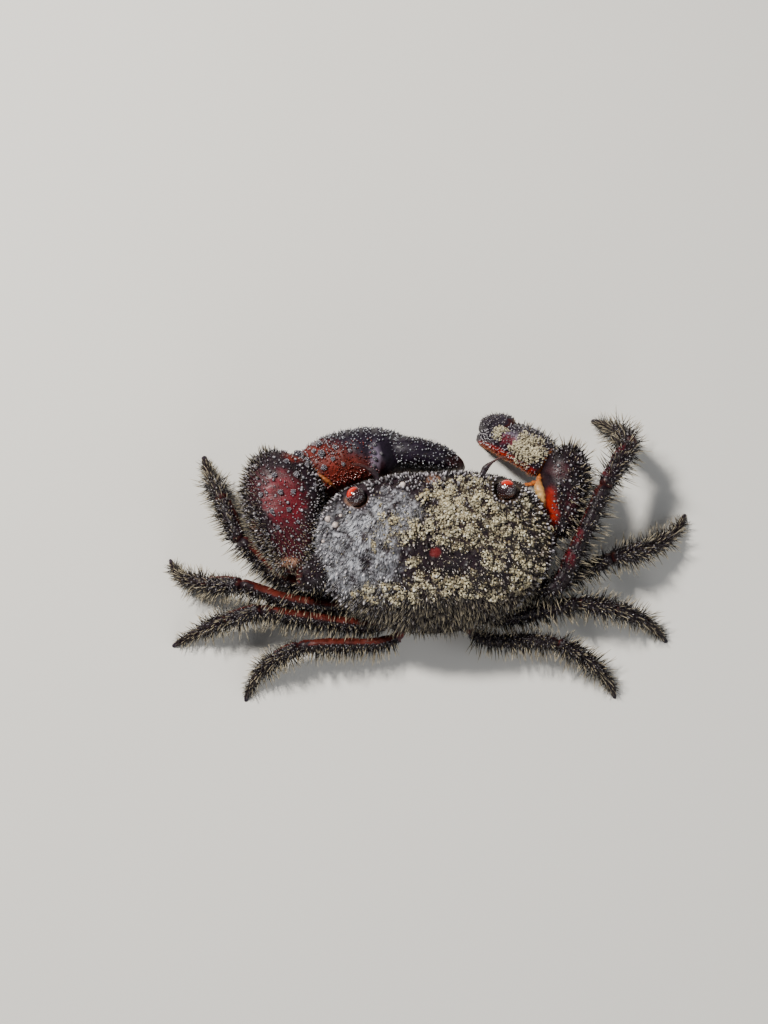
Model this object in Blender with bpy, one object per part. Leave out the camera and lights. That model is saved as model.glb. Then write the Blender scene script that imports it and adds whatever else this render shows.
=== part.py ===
"""A purple bristle crab at life size, still, standing on its leg tips with its claws folded in front.

The frame is +Z up, +Y the way the crab faces and +X its right side. Shapes are worked out in millimetres
and made in metres. The body (carapace, sternum, pleon, eyes, mouthparts) is modelled level and then pitched
nose up. Each limb is a chain of articles: every article starts inside the one before it and is cut by a
copy of it grown by GAP, so they meet face to face. Tubercles and bristles are cones rooted in the surface
that carries them. Each is left out where it would come near another part or the floor."""

from functools import partial

import bmesh
import bpy
import numpy as np
from mathutils.bvhtree import BVHTree

# Driving dimensions, in millimetres and degrees
GAP = 0.3
BODY_X, BODY_Y, BODY_Z = 1.0, 1.1, 27.0
BODY_PITCH = 14.0
DOME_HEIGHT = 16.0
DOME_POWER = 2.4
FRONT_LIFT = 3.5
REAR_DROP = 2.0
SPLIT_LEVEL = -8.0
BELLY_LEVEL = -14.5
ORBIT_X, ORBIT_Y, ORBIT_LEVEL = 25.1, 19.6, 7.6
ORBIT_RADII = (4.3, 3.8, 4.5)
STALK_RADIUS = 3.1
CORNEA_CUT = 2.1
CORNEA_LOOKS = {"left": (-0.55, 0.70, 0.45), "right": (0.12, 0.86, 0.50)}
PALP_SIDES, FEELER_SIDES = 12, 6

# Half of the carapace's edge seen from above, from the middle of the front to the middle of the rear
MARGIN = (
    (0.0, 25.6), (9.5, 25.7), (18.6, 24.3), (27.2, 22.0), (32.4, 19.0), (36.2, 14.6), (38.9, 9.0),
    (40.0, 2.6), (39.6, -3.8), (37.3, -10.0), (31.8, -16.3), (24.3, -22.2), (12.6, -27.0), (0.0, -28.4),
)  # fmt: skip

BODY_SIDES = 36
LIMB_SIDES = 8
CLAW_SIDES = 14
LIMB_ROUGHNESS = 0.45

# Tubercles and bristles: how near they come to another part, how deep they are rooted and how they vary
CLEARANCE = 0.5
ROOT = 0.9
SPINE_SIDES = 3
SIZE_SPREAD = 0.22
GOLDEN_RATIO = 0.618034
GOLDEN_ANGLE = np.radians(137.508)
SHELL_TUBERCLES = 150
ORBIT_TUBERCLES = 9
ORBIT_RING = 5.4
REAR_BRISTLES_FROM = -18.0

# The coat of each article, as bands: how many cones, from and to which share of its length, from and to
# which angle round it (0 is sideways, 90 the upper edge), and each cone's height, half width and lean
# towards the article's far end
LEG_COAT = {
    "merus": ((11, 0.30, 0.93, 35, 145, 3.8, 0.45, 0.35),),
    "carpus": ((8, 0.12, 0.90, 15, 165, 3.6, 0.45, 0.35),),
    "propodus": ((7, 0.12, 0.90, 0, 180, 3.2, 0.42, 0.40),),
    "dactyl": ((3, 0.15, 0.55, 0, 180, 2.2, 0.40, 0.45),),
}
BIG_CLAW_COAT = {
    "merus": ((9, 0.62, 0.92, 30, 150, 3.0, 0.45, 0.2),),
    "carpus": (
        (22, 0.10, 0.93, 45, 140, 1.1, 1.05, 0.1),
        (16, 0.12, 0.88, 145, 215, 3.4, 0.45, 0.3),
    ),
    "palm": ((26, 0.06, 0.52, 70, 205, 1.1, 1.05, 0.1),),
    "finger": ((4, 0.15, 0.45, 50, 180, 0.9, 0.8, 0.1),),
}
SMALL_CLAW_COAT = {
    "carpus": (
        (6, 0.30, 0.90, 80, 120, 1.0, 0.9, 0.1),
        (18, 0.15, 0.92, -35, 75, 4.0, 0.45, 0.3),
    ),
    "palm": ((14, 0.08, 0.55, 30, 170, 1.0, 0.9, 0.1),),
}

# Each walking leg's size against the first one's, and its joints, from the coxa to the point that stands on
# the floor
LEGS = {
    "left_1": (1.0, (
        (-17, -3, 12), (-32, -9.3, 12), (-50, -6.6, 13), (-66, 8.3, 20.5), (-71.5, 22.5, 18),
        (-76, 31, 5.5), (-79, 41, 0),
    )),
    "left_2": (0.9, (
        (-16, -10, 10), (-27, -15.6, 10), (-47, -13.9, 12.3), (-66.8, -7, 17), (-78, -6, 12.5),
        (-87, -3, 4.8), (-92, 4.5, 0),
    )),
    "left_3": (0.85, (
        (-13, -17, 9.5), (-20, -22.6, 9), (-45, -19.2, 11.5), (-60.4, -16, 14.5), (-72, -18.5, 10.5),
        (-82, -21.5, 4.6), (-91.5, -25.5, 0),
    )),
    "left_4": (0.78, (
        (-10, -22, 8.5), (-17, -28.4, 8), (-36, -28.6, 9.5), (-48, -28.8, 11), (-56, -32.5, 8.5),
        (-62.5, -37.5, 4), (-67, -45.5, 0),
    )),
    "right_1": (1.0, (
        (17, -4, 13), (31, -11.5, 16), (41, -13.2, 19), (48.5, -1.6, 23), (59.3, 19.4, 29), (69.5, 34, 24),
        (66.5, 42, 9), (60, 47.5, 0),
    )),
    "right_2": (0.9, (
        (16, -9, 9.5), (30, -14.4, 8.5), (45, -10, 10), (62, -3.5, 15), (74, -1, 11), (84, 4, 4.8),
        (90, 12, 0),
    )),
    "right_3": (0.85, (
        (13, -17, 9.5), (20, -22.6, 9.5), (40, -19.8, 12), (50, -18.5, 13.5), (62, -21, 11), (73, -25, 5),
        (80, -32, 0),
    )),
    "right_4": (0.78, (
        (10, -22, 8.5), (16, -28.8, 8), (33, -30.5, 9), (42, -32, 10.5), (50, -36.5, 8.5),
        (57, -42.5, 4.5), (61, -50.5, 0),
    )),
}  # fmt: skip

# The walking legs' half widths and half depths in mm, along each article, at size 1
LEG_WIDTHS = {"root": (2.4, 2.5), "merus": 2.75, "knee": 2.5, "carpus": (2.3, 3.1, 2.9),
              "propodus": (2.1, 2.6, 2.2), "dactyl": (1.9, 1.5, 0.75)}  # fmt: skip
LEG_DEPTHS = {"root": (3.0, 3.4), "merus": 4.9, "knee": 4.0, "carpus": (2.8, 3.9, 3.5),
              "propodus": (2.6, 3.3, 2.6), "dactyl": (2.2, 1.8, 0.8)}  # fmt: skip

# Each part's colour in the photo, as sRGB hex
LEG_COLOURS = {"merus": "#3b2630", "carpus": "#4a2a30", "propodus": "#3f2832", "dactyl": "#5c3c36"}
BIG_CLAW_COLOURS = {"merus": "#3a2028", "carpus": "#7a1f2c", "palm": "#5d2a30", "finger": "#3a1a22"}
SMALL_CLAW_COLOURS = {"merus": "#3a2430", "carpus": "#502230", "palm": "#75605c", "finger": "#2f1d25"}


def linear(channel):
    return channel / 12.92 if channel <= 0.04045 else ((channel + 0.055) / 1.055) ** 2.4


def finish(name, colour, roughness):
    """A material of one finish, its colour an sRGB hex value."""
    material = bpy.data.materials.new(name)
    material.use_nodes = True
    shader = material.node_tree.nodes["Principled BSDF"]
    red, green, blue = (linear(int(colour[i : i + 2], 16) / 255) for i in (1, 3, 5))
    shader.inputs["Base Color"].default_value = (red, green, blue, 1.0)
    shader.inputs["Roughness"].default_value = roughness
    shader.inputs["Metallic"].default_value = 0.0
    material.diffuse_color = (red, green, blue, 1.0)
    return material


def unit(vectors):
    vectors = np.asarray(vectors, float)
    return vectors / np.linalg.norm(vectors, axis=-1, keepdims=True)


def spline(points, count=24):
    """A smooth curve through the points (Catmull-Rom), as close samples with every column carried along."""
    points = np.asarray(points, float)
    padded = np.vstack([2 * points[0] - points[1], points, 2 * points[-1] - points[-2]])
    u = np.linspace(0, 1, count, endpoint=False)[None, :, None]
    a, b, c, d = (padded[i : len(padded) - 3 + i, None, :] for i in range(4))
    curve = b + 0.5 * u * (c - a + u * (2 * a - 5 * b + 4 * c - d + u * (3 * (b - c) + d - a)))
    return np.vstack([curve.reshape(-1, points.shape[1]), points[-1:]])


def along(path, s):
    """The path's columns at distance s from its start, carried straight on past both ends."""
    steps = np.linalg.norm(np.diff(path[:, :3], axis=0), axis=1)
    reach = np.concatenate([[0.0], np.cumsum(steps)])
    inside = np.stack([np.interp(s, reach, column) for column in path.T], axis=-1)
    first, last = unit(path[1, :3] - path[0, :3]), unit(path[-1, :3] - path[-2, :3])
    beyond = np.minimum(s, 0)[..., None] * first + np.maximum(s - reach[-1], 0)[..., None] * last
    inside[..., :3] += beyond
    return inside, reach[-1]


def limb_point(limb, s, theta, grow=0.0):
    """A point of a limb's skin, s mm along it and theta round it: the path's point there, plus a rounded
    oval of the half width sideways and half depth upwards, which closes as a quarter ellipse over the last
    few mm of each end."""
    path = spline(limb["points"])
    here, length = along(path, s)
    ahead, _ = along(path, s + 0.5)
    behind, _ = along(path, s - 0.5)
    forward = unit(ahead[..., :3] - behind[..., :3])
    side = unit(np.cross(forward, np.asarray(limb["up"], float)))
    rise = np.cross(side, forward)
    close = np.ones_like(s, dtype=float)
    for start, dome in ((s + grow, limb["ends"][0] + grow), (length + grow - s, limb["ends"][1] + grow)):
        close = close * np.sqrt(np.clip(1 - np.clip(1 - start / dome, 0, 1) ** 2, 0, 1))
    power = 2 / limb.get("power", 2.2)
    across = np.sign(np.cos(theta)) * np.abs(np.cos(theta)) ** power
    upward = np.sign(np.sin(theta)) * np.abs(np.sin(theta)) ** power
    wide = ((here[..., 3] + grow) * close * across)[..., None] * side
    deep = ((here[..., 4] + grow) * close * upward)[..., None] * rise
    return here[..., :3] + wide + deep


def limb_grid(limb, sides, grow=0.0, rings=5):
    """The limb's skin as a grid of rings, close together over its rounded ends."""
    _, length = along(spline(limb["points"]), np.zeros(1))
    domes = [end + grow for end in limb["ends"]]
    curve = 1 - np.cos(np.radians((0, 50, 90)))
    middle = np.linspace(domes[0] - grow, length - domes[1] + grow, rings)[1:-1]
    s = np.concatenate([domes[0] * curve - grow, middle, (length + grow - domes[1] * curve)[::-1]])
    theta = np.linspace(0, 2 * np.pi, sides, endpoint=False)
    return limb_point(limb, *np.meshgrid(s, theta, indexing="ij"), grow=grow)


def margin_radius(theta):
    """How far the carapace's edge is from its middle, in the direction theta from straight ahead."""
    half = np.array(MARGIN)
    ring = np.vstack([half, (half * (-1, 1))[-2:0:-1], half[:1]])
    samples = spline(np.vstack([ring[-2:-1], ring, ring[1:2]]), 8)
    angle = np.unwrap(np.arctan2(samples[:, 0], samples[:, 1]))
    return np.interp(np.mod(theta, 2 * np.pi), angle, np.hypot(samples[:, 0], samples[:, 1]))


def carapace_point(rho, theta):
    """The carapace's upper skin at the share rho of the way from its middle to its edge: a dome that falls
    off as (1 - rho^2.4)^0.8, over an edge that is lifted at the front and dropped at the rear."""
    reach = margin_radius(theta) * rho
    edge = np.where(np.cos(theta) > 0, FRONT_LIFT, REAR_DROP) * np.cos(theta) * np.abs(np.cos(theta))
    level = DOME_HEIGHT * np.clip(1 - rho**DOME_POWER, 0, 1) ** 0.8 + edge * rho**2
    return np.stack([reach * np.sin(theta), reach * np.cos(theta), level], axis=-1)


def wall_ring(theta, share, level, grow=0.0):
    """A ring of the side wall under the carapace's edge, a share of the edge's own outline at one level."""
    reach = margin_radius(theta) * share + grow
    return np.stack([reach * np.sin(theta), reach * np.cos(theta), np.full_like(theta, level)], axis=-1)


def body_angles():
    return np.linspace(0, 2 * np.pi, BODY_SIDES, endpoint=False)


def carapace_grid(grow=0.0):
    theta = body_angles()
    upper = []
    for rho in (0.0, 0.2, 0.38, 0.54, 0.68, 0.8, 0.9, 0.96, 1.0):
        point = carapace_point(np.full_like(theta, rho), theta)
        point[:, :2] *= 1 + grow * rho / 30
        point[:, 2] += grow
        upper.append(point)
    base = SPLIT_LEVEL + GAP / 2
    lower = [
        wall_ring(theta, 0.985, -2.2, grow),
        wall_ring(theta, 0.93, -5.0, grow),
        wall_ring(theta, 0.85, base - grow, grow),
        wall_ring(theta, 0.0, base - grow),
    ]
    return np.stack(upper + lower)


def underbody_grid(grow=0.0):
    theta = body_angles()
    top = SPLIT_LEVEL - GAP / 2
    levels = ((0.0, top + grow), (0.845, top + grow), (0.78, -10.6), (0.68, -13.0), (0.5, BELLY_LEVEL - grow))
    rings = [wall_ring(theta, share, level, grow if share else 0.0) for share, level in levels]
    return np.stack(rings + [wall_ring(theta, 0.0, BELLY_LEVEL - grow)])


def ball_grid(centre, radii, sides=12, rings=8):
    """An ellipsoid: sine and cosine of the height angle times the three radii."""
    around = np.linspace(0, 2 * np.pi, sides, endpoint=False)
    height, theta = np.meshgrid(np.radians(np.linspace(-90, 90, rings)), around, indexing="ij")
    shape = [np.cos(height) * np.cos(theta), np.cos(height) * np.sin(theta), np.sin(height)]
    return np.stack(shape, axis=-1) * radii + centre


def pitched(points):
    """Points of the level body, turned nose up and raised to its place."""
    angle = np.radians(BODY_PITCH)
    x, y, z = np.moveaxis(np.asarray(points, float), -1, 0)
    ahead = y * np.cos(angle) - z * np.sin(angle)
    above = y * np.sin(angle) + z * np.cos(angle)
    return np.stack([x, ahead, above + BODY_Z], axis=-1)


def turned(directions):
    """Directions of the level body, turned nose up."""
    return pitched(directions) - pitched(np.zeros(3))


def solid(name, grid, material=None):
    """A closed mesh object from a grid of rings whose first and last ring are single points."""
    grid = np.asarray(grid, float) + (BODY_X, BODY_Y, 0.0)
    rings, sides = grid.shape[:2]
    corners = np.concatenate([grid[:1, 0], grid[1:-1].reshape(-1, 3), grid[-1:, 0]]) / 1000
    ring = np.arange((rings - 2) * sides).reshape(rings - 2, sides) + 1
    beside = np.roll(ring, -1, axis=1)
    last = len(corners) - 1
    faces = [(0, int(b), int(a)) for a, b in zip(ring[0], beside[0])]
    quads = np.stack([ring[:-1], beside[:-1], beside[1:], ring[1:]], axis=-1).reshape(-1, 4)
    faces += [tuple(map(int, quad)) for quad in quads]
    faces += [(last, int(a), int(b)) for a, b in zip(ring[-1], beside[-1])]
    mesh = bpy.data.meshes.new(name)
    mesh.from_pydata(corners.tolist(), [], faces)
    shape = bmesh.new()
    shape.from_mesh(mesh)
    bmesh.ops.recalc_face_normals(shape, faces=shape.faces)
    shape.to_mesh(mesh)
    shape.free()
    obj = bpy.data.objects.new(name, mesh)
    bpy.context.scene.collection.objects.link(obj)
    if material:
        mesh.materials.append(material)
    return obj


def remove(objects):
    for obj in list(objects):
        bpy.data.objects.remove(obj, do_unlink=True)


def keep_largest(obj):
    """Drops every closed surface of the mesh but the largest."""
    shape = bmesh.new()
    shape.from_mesh(obj.data)
    islands, seen = [], set()
    for start in shape.verts:
        if start in seen:
            continue
        island, edge = {start}, [start]
        while edge:
            vertex = edge.pop()
            found = {link.other_vert(vertex) for link in vertex.link_edges} - island
            island |= found
            edge += found
        seen |= island
        islands.append(island)
    islands.sort(key=len)
    bmesh.ops.delete(shape, geom=[v for island in islands[:-1] for v in island], context="VERTS")
    shape.to_mesh(obj.data)
    shape.free()


def combine(obj, others, operation, solver="EXACT"):
    """Applies one Boolean with all the others, which are used up, and keeps the largest closed surface."""
    tools = bpy.data.collections.new("tools")
    bpy.context.scene.collection.children.link(tools)
    for other in others:
        bpy.context.scene.collection.objects.unlink(other)
        tools.objects.link(other)
    modifier = obj.modifiers.new("combine", "BOOLEAN")
    modifier.operation = operation
    modifier.operand_type = "COLLECTION"
    modifier.collection = tools
    modifier.solver = solver
    bpy.context.view_layer.update()
    graph = bpy.context.evaluated_depsgraph_get()
    mesh = bpy.data.meshes.new_from_object(obj.evaluated_get(graph))
    obj.modifiers.remove(modifier)
    obj.data = mesh
    remove(tools.objects)
    bpy.data.collections.remove(tools)
    keep_largest(obj)


def keep_side(obj, point, normal):
    """Keeps the part of a closed mesh on the normal's side of a plane, in metres, and closes the cut flat."""
    shape = bmesh.new()
    shape.from_mesh(obj.data)
    everything = shape.verts[:] + shape.edges[:] + shape.faces[:]
    cut = bmesh.ops.bisect_plane(
        shape, geom=everything, plane_co=point, plane_no=normal, clear_inner=True
    )
    rim = [edge for edge in cut["geom_cut"] if isinstance(edge, bmesh.types.BMEdge)]
    bmesh.ops.holes_fill(shape, edges=rim, sides=0)
    bmesh.ops.recalc_face_normals(shape, faces=shape.faces)
    shape.to_mesh(obj.data)
    shape.free()


def body_tools():
    """Copies of the carapace and the sternum, grown by the gap, that clear a limb's root."""
    return [solid("tool", pitched(carapace_grid(GAP))), solid("tool", pitched(underbody_grid(GAP)))]


def limb(points, widths, depths, ends, up=(0, 0, 1), power=2.2):
    columns = [(*point, width, depth) for point, width, depth in zip(points, widths, depths)]
    return {"points": columns, "ends": ends, "up": up, "power": power}


def between(a, b, share):
    return tuple(np.array(a, float) + (np.array(b, float) - np.array(a, float)) * share)


def chain(name, articles, sides, colours, on_floor):
    """One node for each article, each cut by a grown copy of the article before it, the first by the body.
    What reaches below the floor is cut off there, which leaves a small flat at z = 0."""
    before = None
    for part, article in articles.items():
        material = finish(f"{name}_{part}_shell", colours[part], LIMB_ROUGHNESS)
        obj = solid(f"{name}_{part}", limb_grid(article, sides), material)
        tools = body_tools() if before is None else [solid("tool", limb_grid(before, sides, GAP))]
        combine(obj, tools, "DIFFERENCE")
        if part in on_floor:
            keep_side(obj, (0, 0, 0), (0, 0, 1))
        before = article


def outward(points, ahead, round_it, inside):
    """A skin's unit normals, from its points, those a step along and round it, and one under each."""
    normal = unit(np.cross(ahead - points, round_it - points))
    facing = np.sum(normal * (points - inside), axis=-1, keepdims=True)
    return normal * np.where(facing < 0, -1, 1)


def band_cones(article, band, random):
    """Roots, directions, heights and half widths of one band of an article's coat. Their places step along
    it evenly and round it by the golden ratio, so they spread with no rows."""
    count, first, last, low, high, height, radius, lean = band
    _, length = along(spline(article["points"]), np.zeros(1))
    step = (np.arange(count) + 0.5 + random.uniform(-0.2, 0.2, count)) / count
    s = length * (first + (last - first) * step)
    turn = np.mod(np.arange(count) * GOLDEN_RATIO + random.uniform(-0.06, 0.06, count), 1)
    theta = np.radians(low + (high - low) * turn)
    root = limb_point(article, s, theta)
    middle, further = (along(spline(article["points"]), place)[0][:, :3] for place in (s, s + 0.5))
    ahead, round_it = limb_point(article, s + 0.3, theta), limb_point(article, s, theta + 0.05)
    normal = outward(root, ahead, round_it, middle)
    forward = unit(further - middle)
    size = random.uniform(1 - SIZE_SPREAD, 1 + SIZE_SPREAD, count)
    return root, unit(normal + lean * forward), height * size, np.full(count, radius)


def shell_at(x, y):
    """The point of the level carapace's upper skin above or below a place in plan."""
    theta = np.arctan2(x, y)
    return carapace_point(np.hypot(x, y) / margin_radius(theta), theta)


def shell_cones(random):
    """The carapace's tubercles, spread over it as seeds on a sunflower. They are longer at its front and
    sides, and at the rear they are bristles that lean back. A ring of small ones goes round each orbit."""
    index = np.arange(SHELL_TUBERCLES)
    rho = 0.975 * np.sqrt((index + 0.5) / SHELL_TUBERCLES)
    theta = index * GOLDEN_ANGLE + random.uniform(-0.06, 0.06, SHELL_TUBERCLES)
    root = carapace_point(rho, theta)
    from_orbit = np.hypot(np.abs(root[:, 0]) - ORBIT_X, root[:, 1] - ORBIT_Y)
    root, rho, theta = (values[from_orbit > ORBIT_RING + 0.8] for values in (root, rho, theta))
    edge = np.clip((rho - 0.72) / 0.25, 0, 1)
    rear = edge * np.clip(-np.cos(theta), 0, 1)
    height = 1.15 + 0.75 * edge + 1.3 * rear
    radius = 0.85 - 0.35 * rear

    around = np.linspace(0, 2 * np.pi, ORBIT_TUBERCLES, endpoint=False)
    x, y = ORBIT_X + ORBIT_RING * np.cos(around), ORBIT_Y + 0.85 * ORBIT_RING * np.sin(around)
    root = np.vstack([root, shell_at(x, y), shell_at(-x, y)])
    height = np.append(height, np.full(2 * ORBIT_TUBERCLES, 0.9))
    radius = np.append(radius, np.full(2 * ORBIT_TUBERCLES, 0.6))

    x, y = root[:, 0], root[:, 1]
    inwards, sideways = shell_at(x * 0.98, y * 0.98), shell_at(x + y / 150, y - x / 150)
    normal = outward(root, inwards, sideways, root * (1, 1, 0))
    lean = np.where(y[:, None] < REAR_BRISTLES_FROM, (0, -0.7, 0.0), (0, 0.25, 0.0))
    size = random.uniform(1 - SIZE_SPREAD, 1 + SIZE_SPREAD, len(root))
    return pitched(root), turned(unit(normal + lean)), height * size, radius


def cone(root, direction, height, radius, turn):
    """A closed cone of few sides, from ROOT under the skin to its tip."""
    side = unit(np.cross(direction, (0.31, 0.52, 0.79)))
    rise = np.cross(direction, side)
    angle = turn + np.linspace(0, 2 * np.pi, SPINE_SIDES, endpoint=False)
    wide = radius * (height + ROOT) / height
    base = root - direction * ROOT + wide * (np.cos(angle)[:, None] * side + np.sin(angle)[:, None] * rise)
    foot, tip = base.mean(axis=0), root + direction * height
    return np.stack([np.tile(foot, (SPINE_SIDES, 1)), base, np.tile(tip, (SPINE_SIDES, 1))])


def tree_of(obj):
    """A mesh as a tree in which the point nearest to another is found quickly."""
    corners = [vertex.co[:] for vertex in obj.data.vertices]
    return BVHTree.FromPolygons(corners, [face.vertices[:] for face in obj.data.polygons])


def is_clear(root, direction, height, trees):
    """Whether a cone keeps CLEARANCE to the floor and to every other part, root included."""
    steps = np.linspace(-ROOT, height, 9)[:, None]
    points = (root + steps * direction + (BODY_X, BODY_Y, 0.0)) / 1000
    if points[:, 2].min() * 1000 < CLEARANCE:
        return False
    near = CLEARANCE / 1000
    return not any(tree.find_nearest(point, near)[0] for tree in trees for point in points.tolist())


def grow_coat(coats):
    """Fuses each node's cones with it, one node after another, each tried against the coats before it."""
    random = np.random.default_rng(7)
    nodes = {obj.name: obj for obj in bpy.context.scene.objects}
    trees = {name: tree_of(obj) for name, obj in nodes.items()}
    for name, makers in coats.items():
        others = [tree for other, tree in trees.items() if other != name]
        cones = []
        for maker in makers:
            for root, direction, height, radius in zip(*maker(random)):
                turn = random.uniform(0, 2 * np.pi)
                if is_clear(root, direction, height, others):
                    cones.append(solid("cone", cone(root, direction, height, radius, turn)))
        combine(nodes[name], cones, "UNION")
        trees[name] = tree_of(nodes[name])


def coat_makers(name, articles, coat):
    """For each coated article of a limb, its node's name and a function for each of its bands."""
    return {
        f"{name}_{part}": [partial(band_cones, articles[part], band) for band in bands]
        for part, bands in coat.items()
    }


def leg_article(path, widths, depths, size, ends):
    return limb(path, np.array(widths) * size, np.array(depths) * size, ends)


def leg_articles(joints, size):
    """Merus with its coxa, carpus, propodus and dactyl. The dactyl bows outwards, and its path ends a little
    below the floor, where it is cut flat."""
    *root, knee, wrist, ankle, tip = joints
    count = len(root) - 2
    widths = [*LEG_WIDTHS["root"], *[LEG_WIDTHS["merus"]] * count, LEG_WIDTHS["knee"]]
    depths = [*LEG_DEPTHS["root"], *[LEG_DEPTHS["merus"]] * count, LEG_DEPTHS["knee"]]
    outwards = unit(np.array(ankle, float) - np.array(wrist, float))
    middle = np.array(between(ankle, tip, 0.5)) + outwards * 1.2
    below = np.array(tip, float) + unit(np.array(tip, float) - middle) * 0.8
    paths = {
        "carpus": [between(knee, wrist, -0.1), between(knee, wrist, 0.5), wrist],
        "propodus": [between(wrist, ankle, -0.08), between(wrist, ankle, 0.5), ankle],
        "dactyl": [between(ankle, tip, -0.08), tuple(middle), tuple(below)],
    }
    ends = {"carpus": (1.5, 2.4), "propodus": (1.5, 2.0), "dactyl": (1.4, 0.8)}
    articles = {"merus": leg_article([*root, knee], widths, depths, size, (2.0, 2.6))}
    for part, path in paths.items():
        articles[part] = leg_article(path, LEG_WIDTHS[part], LEG_DEPTHS[part], size, ends[part])
    return articles


# The claws' articles, from the body outwards. The larger claw is on the crab's left.
BIG_CLAW = {
    "merus": limb(
        [(-14, 11, 17), (-30, 2, 20.5), (-40, -4.4, 24), (-47, -4.4, 24.5)],
        (4.5, 6.0, 6.3, 5.5), (4.5, 5.8, 6.2, 5.6), (3.0, 4.0),
    ),
    "carpus": limb(
        [(-46.5, -5, 24.3), (-48, 3, 24), (-49.4, 12, 23.5), (-49.8, 21.5, 22.5), (-49.2, 29.5, 21),
         (-47.6, 35.5, 19.5)],
        (4.5, 8.6, 12.2, 14.2, 12.2, 7.0), (5.0, 8.6, 11.6, 12.8, 12.0, 9.0), (3.0, 5.0), power=2.5,
    ),
    "palm": limb(
        [(-43, 25.5, 17.0), (-33, 31.5, 14.8), (-20.5, 34.6, 13.9), (-10, 35.3, 10), (0, 34, 6.0),
         (9, 31.5, 4.6)],
        (9.0, 11.0, 10.4, 7.2, 4.6, 2.0), (12.0, 15.0, 14.6, 9.6, 5.2, 2.2), (4.0, 2.6), power=2.5,
    ),
    "finger": limb(
        [(-13, 35.5, 19.5), (-6, 35.2, 21.5), (3, 33.6, 19), (9.5, 31.6, 13), (11.5, 30.6, 8.4)],
        (5.0, 5.0, 4.2, 3.0, 1.4), (4.5, 5.0, 4.4, 3.0, 1.4), (2.5, 1.6),
    ),
}  # fmt: skip
SMALL_CLAW = {
    "merus": limb(
        [(14, 11, 16), (28, 6, 15), (38, 5, 14.5), (43, 6, 15)],
        (4.2, 5.2, 5.0, 4.4), (4.2, 5.4, 5.2, 4.8), (3.0, 3.0),
    ),
    "carpus": limb(
        [(42.8, 4.5, 15.5), (44.2, 11, 19), (45.5, 19, 21), (46.2, 26.5, 22), (44, 33.5, 21.5)],
        (3.6, 6.4, 8.0, 8.2, 4.6), (5.0, 8.4, 10.2, 9.8, 6.4), (2.4, 3.6), power=2.4,
    ),
    "palm": limb(
        [(42, 27, 22.5), (36.2, 33.4, 19.4), (29, 39.4, 12.6), (23.6, 41.8, 6.5), (20.5, 42.8, 1.6),
         (19.6, 43.2, -0.6)],
        (5.4, 7.6, 7.2, 4.4, 2.5, 1.4), (5.6, 6.6, 6.2, 4.2, 2.4, 1.3), (3.0, 1.2),
        up=(0.35, 0.75, 0.55), power=2.4,
    ),
    "finger": limb(
        [(29.8, 43, 17.6), (26.2, 45.4, 14.4), (22.8, 46.5, 9.6), (20.7, 46.6, 4.4), (19.9, 45.9, 1.4)],
        (3.2, 3.2, 2.7, 1.9, 1.0), (2.9, 3.1, 2.7, 1.9, 1.0), (1.8, 1.0), up=(0.35, 0.75, 0.55),
    ),
}  # fmt: skip


def build_body():
    """The carapace with a cup for each eye, the sternum, and in each cup a stalk that bears the cornea."""
    carapace = solid("carapace", pitched(carapace_grid()), finish("carapace_shell", "#43323c", 0.55))
    cups = [ball_grid((side * ORBIT_X, ORBIT_Y, ORBIT_LEVEL), ORBIT_RADII) for side in (-1, 1)]
    combine(carapace, [solid("tool", pitched(cup)) for cup in cups], "DIFFERENCE")
    solid("sternum", pitched(underbody_grid()), finish("sternum_shell", "#8a5a4a", 0.5))

    drop = ORBIT_RADII[2] - STALK_RADIUS - GAP
    for side, name in ((-1, "left"), (1, "right")):
        centre = np.array((side * ORBIT_X, ORBIT_Y, ORBIT_LEVEL - drop))
        look = unit(CORNEA_LOOKS[name])
        ball = pitched(ball_grid(centre, (STALK_RADIUS,) * 3))
        stalk = solid(f"eyestalk_{name}", ball, finish(f"eyestalk_{name}_shell", "#5b4750", 0.45))
        cornea = solid(f"cornea_{name}", ball, finish(f"cornea_{name}_shell", "#c2321f", 0.15))
        for obj, sign in ((stalk, -1), (cornea, 1)):
            cut = pitched(centre + look * (CORNEA_CUT + sign * GAP / 2)) + (BODY_X, BODY_Y, 0.0)
            keep_side(obj, (cut / 1000).tolist(), (turned(look) * sign).tolist())


def build_face():
    """The pleon folded under the sternum, the two outer mouthparts and the two antennae."""
    level = BELLY_LEVEL - 0.6
    path = [(0, -15, level), (0, -8, level), (0, 2, level)]
    flap = limb(path, (5.5, 6.5, 2.6), (1.1, 1.2, 1.0), (1.5, 2.0), power=3.0)
    pleon = solid("pleon", pitched(limb_grid(flap, PALP_SIDES)), finish("pleon_shell", "#9a6a55", 0.5))
    combine(pleon, body_tools(), "DIFFERENCE")
    for side, name in ((-1, "left"), (1, "right")):
        path = [(side * 5.2, 13.5, -15.0), (side * 5.0, 18.0, -13.0), (side * 4.6, 22.4, -8.5)]
        plate = limb(path, (4.0, 4.6, 4.0), (1.6, 1.8, 1.5), (1.5, 1.5), power=3.0)
        mouth = finish(f"maxilliped_{name}_shell", "#6b4038", 0.5)
        maxilliped = solid(f"maxilliped_{name}", pitched(limb_grid(plate, PALP_SIDES)), mouth)
        combine(maxilliped, body_tools(), "DIFFERENCE")
        path = [(17, 23, 2.4), (18.5, 26.6, 2.6), (22, 29.4, 3.6), (26, 30.4, 5.4)]
        path = [(side * x, y, z) for x, y, z in path]
        feeler = limb(path, (1.2, 1.0, 0.7, 0.35), (1.2, 1.0, 0.7, 0.35), (0.8, 0.5))
        horn = finish(f"antenna_{name}_horn", "#6a3a34", 0.5)
        antenna = solid(f"antenna_{name}", pitched(limb_grid(feeler, FEELER_SIDES)), horn)
        combine(antenna, body_tools(), "DIFFERENCE")


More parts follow.
